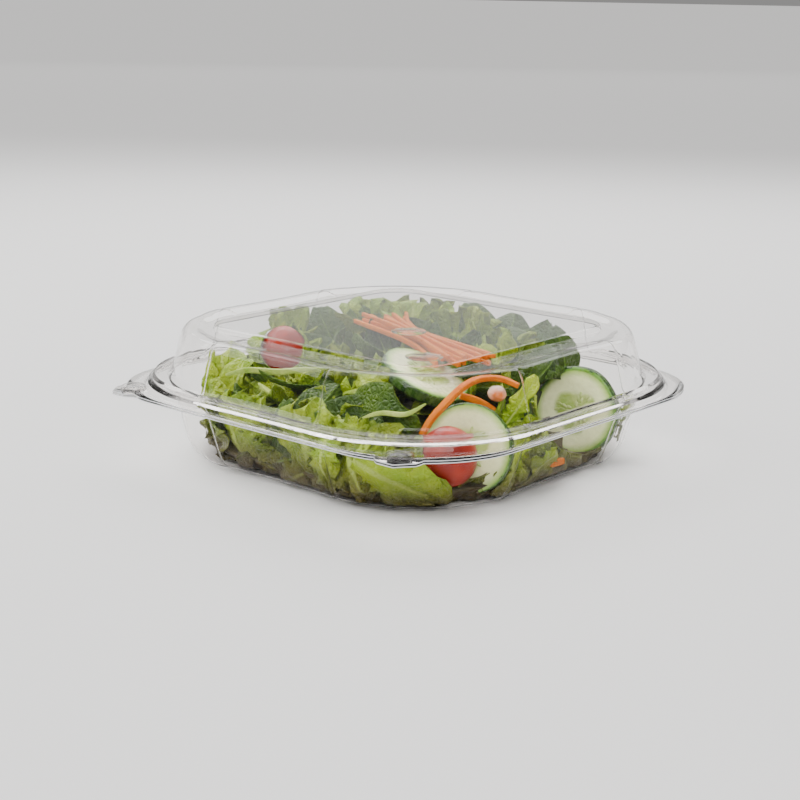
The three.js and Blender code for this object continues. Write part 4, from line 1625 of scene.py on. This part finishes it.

# %% [markdown]
# ## Leaves and stems that stand out
#
# Some leaves catch the eye: the dark smooth ones in the middle and at the back, the frilled ones in the left
# corner, the large bright one at the front. They are listed one by one, because a rule would not put them
# where the photo has them. Three pale stems lie among them. They are made like the carrot strips, with ends
# that run thin, so that they seem to come out from under a leaf.

# %% Leaves and stems that stand out
# Each row: piece, kind, length, width, bend, frill, place (X, Y, above the rim), turn and tint.
STAND_OUT = [
    ("spinach_middle", "spinach", 33, 31, 5, 1.2, (-12, -50, 1), (-58, -50, 41), 0.3),
    ("spinach_middle", "spinach", 42, 26, 7, 1.5, (40, -66, 1), (-40, -92, 36), 0.55),
    ("spinach_middle", "spinach", 34, 24, -5, 1.2, (30, -74, -5), (-20, -80, 30), 0.3),
    ("spinach_middle", "spinach", 28, 22, 4, 1.5, (8, -70, -3), (-35, 30, 20), 0.2),
    ("spinach_middle", "spinach", 26, 26, 5, 1.5, (12, -38, 7), (-60, 20, 30), 0.4),
    ("lettuce_middle", "lettuce", 24, 25, 4, 2.4, (26, -58, 7), (-48, -36, 41), 0.6),
    ("lettuce_middle", "lettuce", 16, 16, 3, 2.0, (38, -84, -7), (-30, -60, 30), 0.4),
    ("spinach_back", "spinach", 28, 26, 5, 2.0, (-8, 62, 12), (-12, -13, 41), 0.4),
    ("spinach_back", "spinach", 26, 28, 5, 2.0, (12, 66, 9), (-14, 12, 30), 0.3),
    ("spinach_back", "spinach", 26, 24, 4, 2.0, (31, 46, 9), (-30, -20, 41), 0.3),
    ("spinach_back", "spinach", 30, 20, 5, 1.6, (48, 62, 6), (-5, -12, 60), 0.35),
    ("spinach_back", "spinach", 30, 22, 5, 1.6, (56, 36, 5), (-30, 50, 50), 0.4),
    ("lettuce_back", "lettuce", 32, 38, 4, 2.6, (-56, 34, 11), (-8, -8, 41), 0.75),
    ("lettuce_back", "lettuce", 30, 30, 4, 2.4, (-34, 40, 12), (-10, 14, 30), 0.7),
    ("spinach_back", "spinach", 28, 22, 4, 1.8, (-66, 12, 10), (-6, -26, 41), 0.5),
    ("lettuce_left", "lettuce", 32, 24, 4, 2.8, (-62, -62, -4), (4, -17, 30), 0.8),
    ("lettuce_left", "lettuce", 28, 18, 4, 2.6, (-46, -72, -3), (2, 14, 20), 0.7),
    ("lettuce_left", "lettuce", 26, 22, 4, 2.6, (-28, -70, -3), (-30, -40, 30), 0.5),
    ("lettuce_left", "lettuce", 24, 20, 4, 2.4, (-72, -34, 2), (0, 10, -30), 0.75),
    ("lettuce_front", "lettuce", 50, 25, 4, 5.0, (70, -84, -25.5), (8, 114, 33), 2.2),
    ("lettuce_front", "lettuce", 30, 22, 4, 3.0, (46, -88, -22), (10, 150, 10), 0.45),
    ("lettuce_front", "lettuce", 24, 16, 3, 1.6, (33, -95, -21), (8, 176, 4), 1.0),
    ("lettuce_front", "lettuce", 36, 20, 3, 2.4, (88, -31, -24), (8, -166, 74), 1.7),
    ("lettuce_front", "lettuce", 24, 14, 3, 2.0, (95, -12, -29), (8, -130, 84), 1.5),
    ("lettuce_right", "lettuce", 31, 9, 5, 1.0, (79.4, -13.4, 1), (-12, 33, 41), 1.0),
    ("spinach_right", "spinach", 26, 20, 4, 1.5, (74, 4, -12), (-10, 20, 60), 0.2),
    ("lettuce_right", "lettuce", 20, 14, 3, 2.2, (93, 62, -20), (8, 4, 96), 0.6),
]

# Pale ribs and stems that show between the leaves, as places above the rim.
STEMS = [
    [(-46, -79, 4.6), (-36, -75, 7.8), (-22, -67, 7.9), (-5, -57, 11.4)],
    [(-27, -76, 3.3), (-15, -74, -4), (-5, -70, -14)],
    [(42, -79, -0.4), (50, -76, 2.8), (59, -69, 2.6), (66, -64, 7.6)],
]
STEM_SCALE = 0.9
STEM_TAPER = 0.65

stand_out_rng = random.Random(17)
for name, kind, length, width, bend, frill, place, turn, tint in STAND_OUT:
    form = (length, width, bend, frill, stand_out_rng.uniform(0, 6))
    grow(name, kind, form, above_rim(*place), turn, tint)
print("leaves that stand out:", len(STAND_OUT))


def stem_flesh():
    finish = Finish("stem_flesh")
    place = finish.attribute("strip_place")
    tone = finish.mottle(place, 0.12, (0.22, 0.36, 0.02), (0.5, 0.6, 0.13))
    finish.set(Base_Color=tone, Roughness=0.4)
    finish.bump(finish.noise(place, 0.9, 3.0), 0.0006, 0.7)
    return finish.material


def build_stems(rng):
    bm = bmesh.new()
    layer = bm.verts.layers.float_vector.new("strip_place")
    for k, points in enumerate(STEMS):
        add_strip(bm, layer, [above_rim(*p) for p in points], k, rng, STEM_SCALE, STEM_TAPER)
    piece("lettuce_stems", bm, [stem_flesh()], "base", ["salad"])


build_stems(stand_out_rng)

# %% [markdown]
# ## Small leaves that fill the heap
#
# Between the leaves set so far the core would still show. Rows of small leaves line the wall, darker row by
# row towards the floor as painted shade, and more lie all over the mound, set out like seeds in a flower
# head, which leaves few gaps and no rows. A particle system could scatter copies of one leaf, but each leaf
# here has to bend to the place where it lies.

# %% Small leaves that fill the heap
# Each row at the wall: height above the rim, size and tint of its leaves. The tint is lower in lower rows as
# painted shade.
WALL_ROWS = [(-32, 24, 0.0), (-25, 24, 0.15), (-15, 24, 0.3), (-8, 20, 0.45)]
WALL_ROW_LEAVES = 26
FILL_DETAIL = 0.62
TOP_FILL = 64
TOP_REACH = 82
GOLDEN_ANGLE = math.pi * (3 - math.sqrt(5))


def draws(rng, *ranges):
    return [rng.uniform(low, high) for low, high in ranges]


def fill_wall(rng):
    """Rows of small leaves pressed against the tray's wall, painted darker towards the floor as shade."""
    for row, (height, full_size, tint) in enumerate(WALL_ROWS):
        for k in range(WALL_ROW_LEAVES):
            angle = 2 * math.pi * (k + 0.5 * (row % 2) + rng.uniform(-0.25, 0.25)) / WALL_ROW_LEAVES
            angle = (angle + math.pi) % (2 * math.pi) - math.pi
            if row >= 2 and in_a_bay(angle, 0.34):
                continue
            x, y = by_the_wall(angle, 86, 9)
            place = above_rim(x, y, height - 0.6 * empty_corner(x, y) * (row / 3))
            kind = "spinach" if rng.random() < 0.3 else "lettuce"
            size = full_size * rng.uniform(0.85, 1.25)
            form = (size, size * rng.uniform(0.7, 1.05), *draws(rng, (1, 5), (1.4, 2.6), (0, 6)))
            lean, tip, veer = draws(rng, (-4, 26), (-75, 75), (-25, 25))
            turn = (lean, tip, math.degrees(angle) + 90 + veer)
            own_tint = min(1, tint + rng.uniform(0, 0.35))
            grow(f"{kind}_wall_fill", kind, form, place, turn, own_tint, FILL_DETAIL, 1.6 + 0.9 * (k % 4))


def fill_top(rng):
    """Leaves lying all over the mound, set out like seeds in a flower head."""
    for k in range(TOP_FILL):
        far = TOP_REACH * math.sqrt((k + 0.5) / TOP_FILL)
        angle = k * GOLDEN_ANGLE
        x, y = far * math.cos(angle) * 0.98, far * math.sin(angle) * 0.98
        if core_reach(x, y) < far / 96:
            continue
        kind = "spinach" if rng.random() < 0.5 else "lettuce"
        size = rng.uniform(20, 30)
        form = (size, size * rng.uniform(0.7, 1.0), *draws(rng, (2, 6), (1.4, 2.6), (0, 6)))
        place = Vector((x, y, core_height(x, y) + rng.uniform(2, 6)))
        lean, tip, veer = draws(rng, (35, 80), (-40, 40), (-60, 60))
        turn = (lean, tip, math.degrees(angle) + 90 + veer)
        grow(f"{kind}_top_fill", kind, form, place, turn, rng.uniform(0.15, 0.85), FILL_DETAIL)


fill_rng = random.Random(33)
fill_wall(fill_rng)
fill_top(fill_rng)
print("pieces of leaves:", sorted(LEAF_PIECES))

# %% [markdown]
# ## Thickness for every leaf
#
# A leaf is about 0.4 mm thick. So far each one is a bare face, which would look paper-thin at its edge and
# is no solid. One Solidify modifier on each piece thickens all its leaves alike, to both sides of the face.

# %% Finish the leaf pieces
def finish_leaves():
    total = 0
    for name, (bm, _) in sorted(LEAF_PIECES.items()):
        material = SPINACH if name.startswith("spinach") else LETTUCE
        total += len(bm.faces)
        obj = piece(name, bm, [material], "base", ["salad"])
        thick = obj.modifiers.new("thickness", "SOLIDIFY")
        thick.thickness = LEAF_THICKNESS * MM
        thick.offset = 0
    print("leaf faces before thickness:", total)


finish_leaves()

# %% [markdown]
# ## End
#

# %% Finish
print("done")
